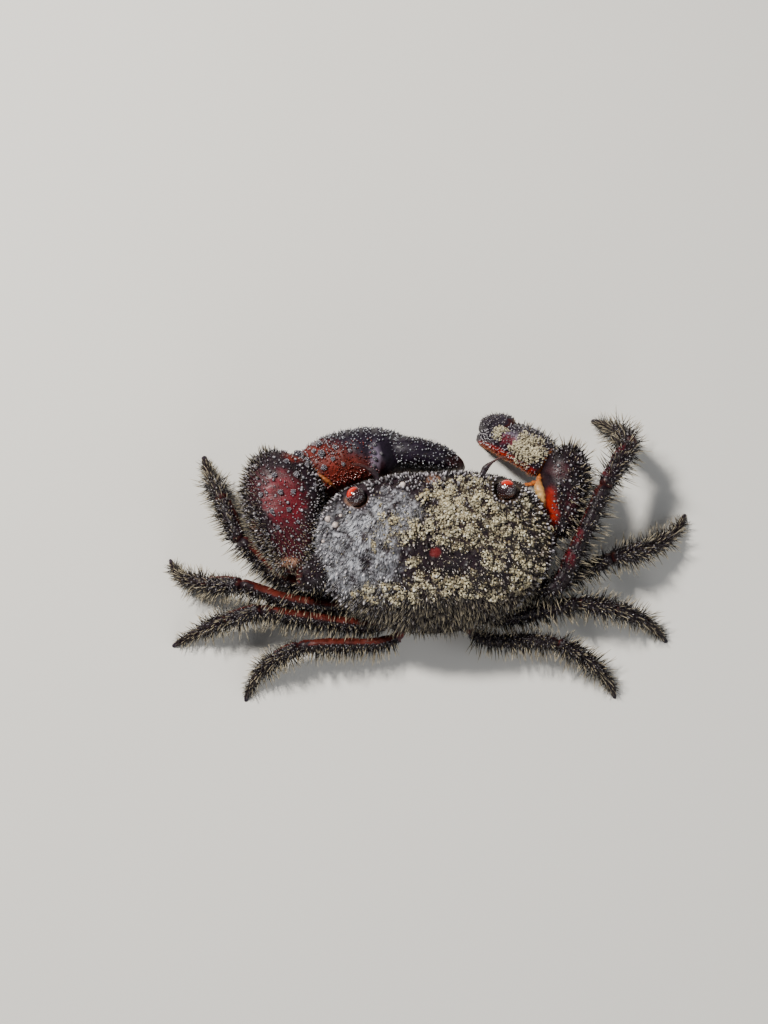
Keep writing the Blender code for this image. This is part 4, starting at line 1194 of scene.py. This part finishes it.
# Rows of a coat: kind, count, shares of the length, angles, height, radius, lean, the tip's strength, and
# the root's and tip's colours where they aren't the kind's own
BIG_CLAW_COAT = {
    "merus": (
        ("bristle", 260, 0.3, 0.95, 0, 360, 2.8, 0.17, 0.3, 0.8),
        ("cone", 700, 0.15, 0.95, 0, 360, 0.9, 0.4, 0.1, 0.5),
        ("hair", 900, 0.1, 0.95, 0, 360, 1.7, 0.09, 0.3, 0.4),
    ),
    "carpus": (
        ("cone", 1500, 0.03, 0.97, 0, 360, 0.75, 0.33, 0.15, 0.6),
        ("bead", 90, 0.06, 0.95, 0, 175, 0.8, 0.55, 0.05, 0.5),
        ("bristle", 800, 0.03, 0.95, 116, 240, 2.7, 0.14, 0.15, 0.5),
        ("thorn", 360, 0.03, 0.95, 105, 240, 1.5, 0.28, 0.1, 0.6),
        ("hair", 1300, 0.03, 0.95, -20, 330, 1.3, 0.085, 0.4, 0.4),
        ("bristle", 200, 0.0, 0.35, -10, 120, 1.9, 0.15, -0.3, 0.7),
    ),
    "palm": (
        # Cone tips in the painted sky sheen: bluish painted reflections on the palm's tubercles
        ("cone", 1000, 0.05, 0.85, 96, 245, 0.75, 0.36, 0.1, 0.8, None, "film"),
        # Painted highlights: bumps of the palm's own orange, half as bright again at their tips
        ("cone", 240, 0.05, 0.44, 46, 112, 0.6, 0.4, 0.2, 1.5, None, "orange"),
        ("hair", 520, 0.05, 0.8, 120, 330, 1.4, 0.085, 0.4, 0.35),
    ),
    "finger": (
        # Cone tips in the painted sky sheen: bluish painted reflections on the finger's tubercles
        ("cone", 260, 0.04, 0.75, -10, 190, 0.6, 0.32, 0.1, 0.8, None, "film"),
        ("hair", 120, 0.1, 0.6, 60, 200, 1.4, 0.09, 0.4, 0.4),
    ),
}
SMALL_CLAW_COAT = {
    "merus": (
        ("bristle", 200, 0.3, 0.95, 0, 360, 2.8, 0.17, 0.4, 0.8),
        ("cone", 240, 0.2, 0.95, 0, 360, 0.6, 0.34, 0.1, 0.5),
    ),
    "carpus": (
        ("cone", 600, 0.04, 0.97, -90, 116, 0.8, 0.36, 0.1, 0.4),
        ("bead", 60, 0.1, 0.95, -20, 110, 0.9, 0.6, 0.05, 0.45),
        ("bristle", 230, 0.08, 0.97, -65, 100, 4.2, 0.19, 0.1, 1.05),
        ("hair", 620, 0.03, 0.95, -100, 110, 1.7, 0.1, 0.3, 0.4),
    ),
    "palm": (
        ("cone", 600, 0.04, 0.85, 30, 206, 0.7, 0.34, 0.1, 0.6),
        ("bristle", 50, 0.05, 0.5, 40, 110, 2.4, 0.15, 0.1, 0.9),
        ("hair", 240, 0.04, 0.85, 206, 224, 1.2, 0.1, 0.2, 0.9, "scarlet", "cream"),
    ),
    "finger": (
        ("cone", 170, 0.05, 0.75, -20, 200, 0.5, 0.28, 0.1, 0.6),
        ("hair", 70, 0.1, 0.6, 0, 180, 1.3, 0.09, 0.4, 0.5),
    ),
}
BIG_CLAW_KNOBS = {
    "carpus": (
        (-52.0, 26.4, 0.95), (-45.2, 26.4, 1.0), (-50.2, 20.5, 1.0), (-56.7, 20.1, 0.9), (-46.1, 20.6, 0.85),
        (-53.6, 14.1, 0.8), (-48.1, 14.8, 0.85), (-58.4, 12.6, 0.8), (-51.4, 9.1, 0.8), (-38.9, 22.9, 0.8),
        (-44.5, 34.3, 1.9), (-41.6, 30.4, 0.9), (-48.4, 31.4, 0.9), (-55.0, 7.0, 0.7), (-44.8, 10.5, 0.7),
    ),
    "palm": (
        (-40.9, 32.6, 1.2), (-36.9, 38.2, 1.3), (-36.0, 34.3, 1.35), (-35.4, 29.4, 1.15), (-38.6, 35.6, 0.8),
        (-32.4, 32.2, 0.8), (-31.5, 36.5, 0.9), (-29.0, 30.5, 0.7), (-26.5, 34.8, 0.7), (-18.0, 37.0, 0.7),
        (-18.3, 34.6, 0.8), (-18.5, 32.2, 0.75), (-18.8, 29.8, 0.6), (-16.4, 33.4, 0.6), (-20.0, 35.6, 0.6),
    ),
}


def leg_coat(low, high, length, radius, scale):
    """A walking leg's coat between two angles: stiff bristles on its upper and rear side, short dark hairs
    and small glossy tubercles between them."""
    # The small tubercles' pale tips are partly painted glints
    cone = (0.75 * scale, 0.36 * scale, 0.1, 0.35)
    return {
        "merus": (
            ("bristle", 210, 0.18, 0.97, low, high, length, radius, 0.12, 1.0),
            ("hair", 520, 0.15, 0.97, low - 5, high + 40, length * 0.38, radius * 0.6, 0.3, 0.3),
            ("cone", 330, 0.15, 0.97, low - 10, high + 10, *cone),
        ),
        "carpus": (
            ("bristle", 110, 0.04, 0.95, low - 30, high + 20, length * 0.95, radius, 0.15, 1.0),
            ("hair", 230, 0.04, 0.95, 0, 360, length * 0.42, radius * 0.5, 0.3, 0.4),
            ("cone", 170, 0.08, 0.95, low - 50, high + 20, *cone),
        ),
        "propodus": (
            ("bristle", 120, 0.04, 0.95, 0, 360, length * 0.9, radius, 0.2, 1.0),
            ("hair", 240, 0.04, 0.95, 0, 360, length * 0.4, radius * 0.5, 0.35, 0.4),
            ("cone", 130, 0.08, 0.95, 0, 360, *cone),
        ),
        "dactyl": (
            ("bristle", 70, 0.04, 0.66, 0, 360, length * 0.55, radius * 0.8, 0.4, 1.0),
            ("hair", 200, 0.04, 0.8, 0, 360, length * 0.32, radius * 0.5, 0.5, 0.5),
        ),
    }


def make_large_claw():
    """The large left claw: its plates, its coat and the rim of its palm's joint."""
    random = np.random.default_rng(SEEDS["large_claw"])
    coat = (CLAW_PAINT, BIG_CLAW_COAT, "large_claw_shell", random, BIG_CLAW_KNOBS)
    limb_pieces("claw_left", BIG_CLAW, *coat, seams=("palm",))
    make_palm_rim()


def palm_grains(random):
    """Sand grains in two heaps on the small claw's palm, the lower ones painted towards the silt colour as
    painted shade.
    """
    count = 5200
    here, normal, _, share, theta = spread(SMALL_CLAW["palm"], count, 0.03, 0.7, 60, 202, random)
    thick = cover(here, ((34.2, 33.4, 5.8, 4.6, -35, 1.0), (26.4, 40.5, 3.0, 2.4, -35, 0.7)))
    thick = thick - oval(here * (1, 1, 0), 28.6, 38.2, 2.6, 2.0, -35)
    keep = random.random(count) < thick * (0.35 + 0.65 * clumped(here))
    here, normal, share, theta = (values[keep] for values in (here, normal, share, theta))
    many = len(here)
    uv = np.stack([share, np.mod(theta / (2 * np.pi), 1)], -1) * 0.9 + 0.05
    lift = random.uniform(0.0, 1.0, (many, 1))
    # Painted shade: the nearer a grain sits to the skin, the more of the silt colour it takes
    mix = np.clip(random.random((many, 1)) * 0.6 + 0.4 * (1 - lift), 0, 1)
    colour = tone("crust") * 1.12 * (1 - mix) + tone("silt") * mix
    grains = lumps(here + normal * lift, random.uniform(0.18, 0.4, many), colour, uv, random)
    coat_piece("claw_right_grains", [grains], "grain", smooth_shade=False)


def make_small_claw():
    """The small right claw: its joint skin, its plates, its coat and its grains."""
    random = np.random.default_rng(SEEDS["small_claw"])
    make_joint_skin()
    coat = (CLAW_PAINT, SMALL_CLAW_COAT, "small_claw_shell", random)
    limb_pieces("claw_right", SMALL_CLAW, *coat, seams=("palm",))
    palm_grains(random)


# Bare crimson spots on the right front leg, seen from above
LEG_SPOTS = (
    (48.9, 2.3, 1.8, 2.6, 0, "crimson", 0.6), (45.6, -4.5, 1.6, 3.4, 20, "crimson", 0.6),
    (59.5, 24.2, 1.5, 2.5, 0, "crimson", 0.4), (64.6, 33.6, 2.0, 3.0, 0, "crimson", 0.55),
)


def soft_fold(path, half_widths, middle, reach):
    """A fold of joint skin: a limb-like form with shallow uneven creases about 1.5 mm apart, pressed in by
    the square of a sine. It is cream at the place middle and ochre beyond reach from there."""
    fold = dict(limb(path, half_widths, np.array(half_widths) * 1.4, (1.0, 1.0)), rough=0.3)
    s, theta = np.meshgrid(np.linspace(0, fold["length"], 90), circle(36), indexing="ij")
    grid = limb_point(fold, s, theta)
    core = axis_frame(fold, s)[0]
    crease = np.sin(s * np.pi / 1.5 + 0.7 * np.cos(theta) + 0.8 * ripple(core, 4.0, 53)) ** 2
    points, faces = tube(grid - unit(grid - core) * (0.12 * crease)[..., None])
    edge = smooth(np.linalg.norm(points - middle, axis=1, keepdims=True) / reach)
    colour = tone("cream") * (1 - edge) + tone("ochre") * edge
    return points, faces, colour * mottled(points, (0.12, 1.5, 52)), points[:, :2] / 200 + 0.5


def make_joint_skin():
    """The pale soft fold in the small claw's inner corner, from the carpus to the palm, and the ochre one
    that runs from it along the carapace's edge and into the side wall below the eye."""
    corner = [(39, 11.5, 21.5), (37.9, 14.5, 25.2), (36.9, 18, 26.6), (37.2, 21.5, 24.6), (38.8, 26.5, 20.5)]
    band = [(26, 16.6, 26.8), (31, 19.9, 26.6), (34.6, 21.2, 25.4), (38.2, 22, 24)]
    folds = [
        soft_fold(corner, (0.8, 1.5, 1.7, 1.4, 0.7), (37.0, 17.2, 26.5), 6.5),
        soft_fold(band, (0.8, 0.8, 0.9, 1.2), (39.0, 21.0, 24.0), 4.0),
    ]
    points, faces, colour, _ = joined(folds)
    piece("claw_right_joint_skin", points, faces, colour, "skin")


def make_palm_rim():
    """The brown-orange rim of the large palm's joint: a thin ridge laid on the palm's skin."""
    palm = BIG_CLAW["palm"]
    line = []
    for x, y in ((-42.4, 31.2), (-39.6, 28.8), (-36.8, 26.6), (-34.0, 24.4), (-31.6, 22.6)):
        s, theta = nearest(palm, x, y)
        line.append(limb_point(palm, np.array([s]), np.array([theta]))[0])
    points, faces, colour, _ = soft_fold(line, (0.3, 0.5, 0.55, 0.5, 0.3), line[2] + (0, 0, 30), 5.0)
    piece("claw_left_joint_skin", points, faces, colour * 0.55, "skin")


def make_legs():
    """The eight legs. On the left the angle 0 faces forwards, on the right it faces back."""
    for index, (name, (scale, joints)) in enumerate(LEGS.items()):
        articles = leg_articles(joints, scale)
        left = name.startswith("left")
        front = 0 if left else 180
        bare = (34, 64, 0.14, 0.95, "brick", 0.95) if left else (front, 40, 0.12, 0.93, "brick", 0.7)
        root = (0, 360, -0.1, 0.16, "orange", 0.6)
        joint = (0, 360, -0.1, 0.08, "brick", 0.5)
        knee = (front, 60, 0.9, 1.2, "brick", 0.6)
        band = (front, 50 if left else 26, 0.1, 0.9, "brick", 0.7)
        paints = {
            f"leg_{name}_merus": ("shell", LEG_SPOTS if name == "right_1" else (), (bare, root, knee)),
            f"leg_{name}_carpus": ("shell", LEG_SPOTS[2:], (band, joint)),
            f"leg_{name}_propodus": ("shell", LEG_SPOTS[3:], (joint,)),
            f"leg_{name}_dactyl": ("shell", (), (joint, (0, 360, 0.82, 1.2, "violet", 0.9))),
        }
        length = size("bristle_length") * (0.6 + 0.4 * scale) * (1.15 if name == "right_1" else 1.0)
        low, high = (102, 235) if left else (-55, 142)
        coats = leg_coat(low, high, length, size("bristle_radius"), scale)
        random = np.random.default_rng(SEEDS["legs"] + index)
        limb_pieces(f"leg_{name}", articles, paints, coats, "leg_shell", random)


# Eyes, mouthparts and underside


def ball(centre, radius, look, last_angle, rings, sides, bulge=0.0, wide=0.0):
    """A ball's cap round the direction look, out to last_angle, closed by a point inside: rings of equal
    angle from the pole. With last_angle at 180 it is the whole ball. bulge raises its middle, and wide
    stretches the cap sideways by that share."""
    look = unit(look)
    across = unit(np.cross(look, (0.2, 0.3, 1.0)))
    rise = np.cross(look, across)
    share, theta = np.meshgrid(np.linspace(0, 1, rings), circle(sides), indexing="ij")
    angle = np.radians(last_angle) * share * (1 + wide * np.cos(theta) ** 2)
    sideways = np.cos(theta)[..., None] * across + np.sin(theta)[..., None] * rise
    out = np.cos(angle)[..., None] * look + np.sin(angle)[..., None] * sideways
    reach = radius + bulge * np.cos(share * np.pi / 2)
    grid = centre + out * reach[..., None]
    if last_angle < 180:
        inner = centre + look * radius * 0.3 + np.zeros((1, sides, 3))
        grid = np.concatenate([grid, inner])
    return grid


def stalk_granules(name, centre, look, random):
    """Small granules on an eyestalk's upper side, by golden angles, larger beside the cornea and paler there,
    their pale tips partly their own colour and partly painted glints.
    """
    count = 110
    index = np.arange(count)
    angle = np.arccos(1 - 1.15 * (index + 0.5) / count)
    turn = index * GOLDEN_ANGLE
    out = np.stack([np.sin(angle) * np.cos(turn), np.sin(angle) * np.sin(turn), np.cos(angle)], -1)
    out = out[out @ look < 0.7]
    many = len(out)
    close = smooth((out @ look - 0.35) / 0.3)
    radius = random.uniform(0.1, 0.2, many) + 0.06 * close
    root = tinted("stalk", many, 0.8)
    # Pale tips, partly painted glints, brightest beside the cornea
    tip = tone("bead_tip_and_glint") * (random.uniform(0.08, 0.4, many) + 0.5 * close)[:, None]
    uv = np.stack([np.mod(turn[:many], 2 * np.pi) / 6.4, angle[:many] / 3.3], -1)
    place = centre + out * STALK_RADIUS
    beads = body_spikes("bead", place, out, out * 0, radius * 1.2, radius, tip, random, root, uv)
    coat_piece(f"eyestalk_{name}_granules", [beads], "bead")


def make_eyes():
    """The eyestalks, each a ball roughened by two ripples and painted lighter on top and darker below as
    painted light and shade, the corneas on them, and their granules.
    """
    random = np.random.default_rng(SEEDS["eyes"])
    for side, name in ((-1, "left"), (1, "right")):
        centre = EYE * (side, 1, 1)
        look = unit(CORNEA_LOOKS[name])
        grid = ball(centre, STALK_RADIUS, (0, 0, 1), 180, 44, 56)
        rough = 0.07 * ripple(grid, 1.4, 40) + 0.05 * ripple(grid, 0.8, 41)
        points, faces = tube(grid + unit(grid - centre) * rough[..., None])
        # Painted light and shade: the stalk's colour runs from 0.6 on its underside to 1.1 on its top
        top = smooth((points[:, 2] - centre[2]) / 3.4)
        colour = tone("stalk") * mottled(points, (0.3, 1.5, 42)) * (0.6 + 0.5 * top[:, None])
        behind = smooth((centre[1] - points[:, 1] - 0.9) / 1.6) * (1 - top) * 0.7
        near = smooth((unit(points - centre) @ look - 0.52) / 0.2) * 0.6
        colour = mixed(colour, tone("ochre") * 0.7, behind)
        colour = mixed(colour, tone("wart") * 0.7, near)
        node = f"eyestalk_{name}"
        piece(f"{node}_plate", pitched(points), faces, colour, "stalk", (node,))

        rings, sides = 18, 48
        lens = ball(centre, STALK_RADIUS + 0.05, look, 33, rings, sides, 0.3, CORNEA_WIDE[name])
        points, faces = tube(lens)
        edge = np.concatenate([[0.0], np.repeat(np.linspace(0, 1, rings)[1:], sides), [1.0]])
        colour = tone("cornea") * (1 - 0.75 * smooth((edge - 0.6) / 0.4))[:, None]
        node = f"cornea_{name}"
        piece(f"{node}_lens", pitched(points), faces, colour, "cornea", (node,))
        stalk_granules(name, centre, look, random)


# How far a form of the level body is raised while it is worked out, because limb_point presses points that
# are under the floor flat
RAISE = 100


def raised(part):
    """A limb-like form of the level body, clear of the floor."""
    return dict(part, path=part["path"] + np.array((0, 0, RAISE, 0, 0)))


def level_tube(part, sides, rings):
    """A limb-like form of the level body, as a grid, with each point's share of the length and its core."""
    s, theta = limb_grid(part, 8, rings, sides)
    core = along(part["path"], s)[0][..., :3]
    return limb_point(raised(part), s, theta) - (0, 0, RAISE), s / part["length"], core


def make_mouthpart(side, name, random):
    """An outer mouthpart with a seam across it, and the hairs along its rims and its end."""
    path = [(side * 5.2, 13.5, -15.0), (side * 5.0, 18.0, -13.0), (side * 4.6, 22.4, -8.5)]
    plate = limb(path, (4.0, 4.6, 4.0), (1.6, 1.8, 1.5), (1.5, 1.5), power=3.0)
    grid, share, core = level_tube(plate, 40, 40)
    pressed = np.exp(-(((share - 0.62) / 0.03) ** 2)) * 0.35
    points, faces = tube(grid - unit(grid - core) * pressed[..., None])
    colour = tone("brick") * 0.55 + tone("under") * 0.25
    colour = colour * mottled(points, (0.2, 4.0, 43), (0.15, 1.4, 44))
    node = f"maxilliped_{name}"
    piece(f"{node}_plate", pitched(points), faces, colour, "shell", (node,))

    here, normal, forward, share, theta = spread(raised(plate), 420, 0.05, 0.98, 0, 360, random)
    here = here - (0, 0, RAISE)
    keep = (np.abs(np.abs(np.cos(theta)) - 1) < 0.35) | (share > 0.85)
    here, normal, forward, share, theta = (values[keep] for values in (here, normal, forward, share, theta))
    count = len(here)
    across = np.mod(theta / (2 * np.pi), 1) * 0.9 + 0.05
    uv = np.stack([(share * 0.9 + 0.05 + (side > 0)) / 2, across], -1)
    root, tip = tinted("bristle_root", count), tinted("bristle_tip", count, 0.7)
    height = random.uniform(0.9, 2.0, count)
    return body_spikes("hair", here, normal, forward * 0.6, height, 0.08, tip, random, root, uv)


def make_antenna(side, name):
    """A short thin antenna, ringed every 0.7 mm beyond its base by a sine along it."""
    places = ((17, 23, 2.4), (18.5, 26.6, 2.6), (22, 29.4, 3.6), (26, 30.4, 5.4))
    path = [(side * x, y, z) for x, y, z in places]
    feeler = limb(path, (1.1, 0.85, 0.5, 0.2), (1.1, 0.85, 0.5, 0.2), (0.8, 0.4))
    grid, share, core = level_tube(feeler, 20, 90)
    ringed = 0.05 * np.sin(share * feeler["length"] * 2 * np.pi / 0.7) * smooth((share - 0.3) / 0.1)
    points, faces = tube(grid + unit(grid - core) * ringed[..., None])
    tint = smooth((np.abs(points[:, :1]) - 18) / 6)
    colour = tone("shell") * 1.3 * (1 - tint) + tone("brick") * 0.6 * tint
    node = f"antenna_{name}"
    piece(f"{node}_horn", pitched(points), faces, colour, "skin", (node,))


def make_face():
    """The outer mouthparts with their rims of hair, and the antennae."""
    random = np.random.default_rng(SEEDS["face"])
    hairs = []
    for side, name in ((-1, "left"), (1, "right")):
        hairs.append(make_mouthpart(side, name, random))
        make_antenna(side, name)
    coat_piece("mouthpart_hairs", hairs, "bristle")


# The sternum's rings, from its closed top to its middle below: share of the carapace's outline, level
STERNUM_RINGS = (
    (0.845, -8.15), (0.83, -8.8), (0.80, -9.8), (0.77, -11.0), (0.72, -12.4), (0.66, -13.3), (0.58, -14.0),
    (0.5, -14.4), (0.42, BELLY_LEVEL), (0.0, BELLY_LEVEL),
)
# The grooves between its segments, of which each bears one pair of limbs: places from the middle outwards
STERNUM_GROOVES = (
    ((2.6, 3.2), (12, 2.0), (26, 1.0)), ((3.5, -3), (11, -8), (24, -11)),
    ((3.5, -7), (10, -14.6), (20, -18.5)), ((3, -11), (8, -19), (13, -24)), ((2.4, 11), (9, 14), (16, 20)),
)


def sternum_grooves(points):
    """The grooves between the sternum's segments, from 0 beside them to 1 in them."""
    side, y = np.abs(points[..., 0]), points[..., 1]
    return np.max([groove(side, y, line, 0.75) for line in STERNUM_GROOVES], axis=0)


def sternum_hairs(random):
    """Short hairs on the sternum's dark outer part and on its wall between the limbs, which point out and
    down."""
    count = int(2600 * bpy.context.scene.crab_sizes.coat)
    share, theta = random.uniform(0.36, 0.84, count), random.uniform(0, 2 * np.pi, count)
    shares, levels = np.array(STERNUM_RINGS)[::-1].T
    here = wall_point(share, 0.0, theta) + np.interp(share, shares, levels)[:, None] * (0, 0, 1)
    normal = unit(np.stack([np.sin(theta) * share, np.cos(theta) * share, np.full(count, -0.9)], -1))
    lean = np.stack([np.sin(theta), np.cos(theta), np.zeros(count)], -1) * 0.9
    root = tinted("bristle_root", count, 1.5)
    tip = tone("bristle_tip") * random.uniform(0.2, 0.8, (count, 1))
    height = random.uniform(0.7, 2.3, count)
    hairs = body_spikes("hair", here, normal, lean, height, 0.08, tip, random, root)
    coat_piece("sternum_hairs", [hairs], "bristle")


def make_pleon():
    """The pleon folded under the sternum, with a seam between its segments where a sine along it is 0,
    painted darker there as painted shade.
    """
    level = BELLY_LEVEL - 0.6
    path = [(0, -15, level), (0, -8, level), (0, 2, level)]
    flap = limb(path, (5.5, 6.5, 2.6), (1.1, 1.2, 1.0), (1.5, 2.0), power=3.0)
    grid, share, core = level_tube(flap, 48, 120)
    steps = np.abs(np.sin(share * 6 * np.pi)) ** 0.35
    points, faces = tube(grid - unit(grid - core) * (0.35 * (1 - steps))[..., None])
    # Painted shade: darker in the seams between the segments
    dark = 1 - 0.5 * (1 - ring_points(steps))[:, None]
    colour = (tone("under") * 0.8 + tone("brick") * 0.2) * dark * mottled(points, (0.12, 2.0, 48))
    piece("pleon_plate", pitched(points), faces, colour, "shell", ("pleon",))


def make_underside():
    """The sternum, pale in its middle and maroon towards the limbs, with grooves between its segments painted
    darker as painted shade, short hairs, and the pleon folded under it."""
    theta = circle(240)
    share, level = np.array(STERNUM_RINGS).T
    step = np.linspace(0, len(share) - 1, 64)
    share, level = (np.interp(step, np.arange(len(share)), values) for values in (share, level))
    rings = zip(np.append(0.0, share), np.append(STERNUM_RINGS[0][1], level))
    grid = np.stack([wall_point(*ring, theta) for ring in rings])
    low = smooth((-12 - grid[..., 2]) / 1.0)
    grid[..., 2] += low * (0.8 * sternum_grooves(grid) + 0.1 * ripple(grid, 3.0, 45))
    points, faces = tube(grid)
    reach = shell_place(points[:, 0], points[:, 1])[0]
    outer = 0.9 * smooth((reach + 0.05 * ripple(points, 6.0, 49) - 0.34) / 0.2)[:, None]
    colour = tone("under") * (1 - outer) + (tone("brick") * 0.8 + tone("shell")) * outer
    # Painted shade: darker in the grooves between the segments
    colour = colour * (1 - 0.6 * sternum_grooves(points)[:, None])
    colour = colour * mottled(points, (0.2, 5.0, 46), (0.14, 1.5, 47))
    piece("sternum_plate", pitched(points), faces, colour, "shell", ("sternum",))
    sternum_hairs(np.random.default_rng(SEEDS["sternum"]))
    make_pleon()


# The stage

CAMERA = {"aim": (-0.0150, 0.0148, 0.027), "distance": 0.6, "lens": 62.3, "elevation": 80.0, "roll": -2.7}
LIGHTS = (
    # name, place, size, power, colour: a key from the front left, a wide fill and a low one from behind
    ("key_light", (-0.5, 0.45, 0.9), 0.16, 23.0, (1.0, 0.97, 0.92)),
    ("fill_light", (0.8, -0.3, 0.6), 0.7, 3.0, (0.92, 0.96, 1.0)),
    ("rear_light", (0.1, -0.9, 0.4), 0.5, 3.0, (1.0, 1.0, 1.0)),
)


def make_stage():
    """The pale floor, a soft world, three round lamps and the camera."""
    plaster = bpy.data.materials.new("matt plaster floor")
    plaster.use_nodes = True
    tree = plaster.node_tree
    shader = tree.nodes["Principled BSDF"]
    place = add(tree, "TexCoord").outputs["Object"]
    cloud = add(tree, "TexNoise", {"Vector": place, "Scale": 6.0, "Detail": 4.0})
    shade = add(tree, "MapRange", {"Value": cloud.outputs["Fac"], "To Min": 0.96, "To Max": 1.03})
    colour = add(tree, "HueSaturation", {"Color": (*tone("floor"), 1.0), "Value": shade.outputs["Result"]})
    tree.links.new(colour.outputs["Color"], shader.inputs["Base Color"])
    shader.inputs["Roughness"].default_value = 0.85
    mesh = bpy.data.meshes.new("floor")
    mesh.from_pydata([(-2, -2, 0), (2, -2, 0), (2, 2, 0), (-2, 2, 0)], [], [(0, 1, 2, 3)])
    mesh.materials.append(plaster)
    floor = bpy.data.objects.new("floor", mesh)
    bpy.context.scene.collection.objects.link(floor)

    world = bpy.data.worlds.new("soft studio")
    world.use_nodes = True
    background = world.node_tree.nodes["Background"]
    background.inputs["Color"].default_value = (0.86, 0.9, 1.0, 1.0)
    background.inputs["Strength"].default_value = 0.15
    bpy.context.scene.world = world
    aim = Vector(CAMERA["aim"])
    for name, place, wide, power, colour in LIGHTS:
        lamp = bpy.data.lights.new(name, "AREA")
        lamp.shape, lamp.size, lamp.energy, lamp.color = "DISK", wide, power, colour
        holder = bpy.data.objects.new(name, lamp)
        holder.location = place
        holder.rotation_euler = (aim - Vector(place)).to_track_quat("-Z", "Y").to_euler()
        bpy.context.scene.collection.objects.link(holder)

    camera = bpy.data.cameras.new("camera")
    camera.sensor_fit, camera.sensor_height, camera.lens = "VERTICAL", 36.0, CAMERA["lens"]
    camera.sensor_width = 36.0
    camera.clip_start, camera.clip_end = 0.01, 10.0
    holder = bpy.data.objects.new("camera", camera)
    tilt = math.radians(CAMERA["elevation"])
    look = Vector((0.0, math.cos(tilt), -math.sin(tilt)))
    roll = Matrix.Rotation(math.radians(CAMERA["roll"]), 4, "Z")
    turn = look.to_track_quat("-Z", "Y").to_matrix().to_4x4() @ roll
    holder.matrix_world = Matrix.Translation(aim - look * CAMERA["distance"]) @ turn
    bpy.context.scene.collection.objects.link(holder)
    bpy.context.scene.camera = holder


class MakeCarapace(bpy.types.Operator):
    """Make the carapace with its tubercles, bristles and stuck grains"""

    bl_idname = "crab.make_carapace"
    bl_label = "Carapace"

    def execute(self, context):
        make_carapace()
        return {"FINISHED"}


class MakeEyes(bpy.types.Operator):
    """Make the eyestalks, their granules and the corneas"""

    bl_idname = "crab.make_eyes"
    bl_label = "Eyes"

    def execute(self, context):
        make_eyes()
        return {"FINISHED"}


class MakeFace(bpy.types.Operator):
    """Make the mouthparts and antennae"""

    bl_idname = "crab.make_face"
    bl_label = "Face"

    def execute(self, context):
        make_face()
        return {"FINISHED"}


class MakeLargeClaw(bpy.types.Operator):
    """Make the large left claw and its coat"""

    bl_idname = "crab.make_large_claw"
    bl_label = "Large claw"

    def execute(self, context):
        make_large_claw()
        return {"FINISHED"}


class MakeSmallClaw(bpy.types.Operator):
    """Make the small right claw, its coat and its grains"""

    bl_idname = "crab.make_small_claw"
    bl_label = "Small claw"

    def execute(self, context):
        make_small_claw()
        return {"FINISHED"}


class MakeLegs(bpy.types.Operator):
    """Make the eight walking legs and their bristles"""

    bl_idname = "crab.make_legs"
    bl_label = "Walking legs"

    def execute(self, context):
        make_legs()
        return {"FINISHED"}


class MakeUnderside(bpy.types.Operator):
    """Make the sternum and the pleon"""

    bl_idname = "crab.make_underside"
    bl_label = "Underside"

    def execute(self, context):
        make_underside()
        return {"FINISHED"}


class MakeStage(bpy.types.Operator):
    """Make the floor, the lights and the camera"""

    bl_idname = "crab.make_stage"
    bl_label = "Stage"

    def execute(self, context):
        make_stage()
        return {"FINISHED"}


OPERATORS = (
    MakeCarapace, MakeEyes, MakeFace, MakeLargeClaw, MakeSmallClaw, MakeLegs, MakeUnderside, MakeStage,
)


class CrabPanel(bpy.types.Panel):
    """Lists the crab's pieces, sizes and colours"""

    bl_idname = "VIEW3D_PT_crab"
    bl_label = "Purple bristle crab"
    bl_space_type = "VIEW_3D"
    bl_region_type = "UI"
    bl_category = "Crab"

    def draw(self, context):
        for operator in OPERATORS:
            self.layout.operator(operator.bl_idname)
        for group in (context.scene.crab_sizes, context.scene.crab_colours):
            for name in type(group).__annotations__:
                self.layout.prop(group, name)


CLASSES = (CrabColours, CrabSizes, *OPERATORS, CrabPanel)


def register():
    """Registers the classes, and gives a scene its colours and sizes."""
    for item in CLASSES:
        bpy.utils.register_class(item)
    bpy.types.Scene.crab_colours = bpy.props.PointerProperty(type=CrabColours)
    bpy.types.Scene.crab_sizes = bpy.props.PointerProperty(type=CrabSizes)


def unregister():
    """Takes back what register gave."""
    del bpy.types.Scene.crab_colours, bpy.types.Scene.crab_sizes
    for item in reversed(CLASSES):
        bpy.utils.unregister_class(item)


def main():
    """Makes the stage and every piece."""
    register()
    bpy.ops.crab.make_stage()
    bpy.ops.crab.make_carapace()
    bpy.ops.crab.make_eyes()
    bpy.ops.crab.make_face()
    bpy.ops.crab.make_large_claw()
    bpy.ops.crab.make_small_claw()
    bpy.ops.crab.make_legs()
    bpy.ops.crab.make_underside()


if __name__ == "__main__":
    main()
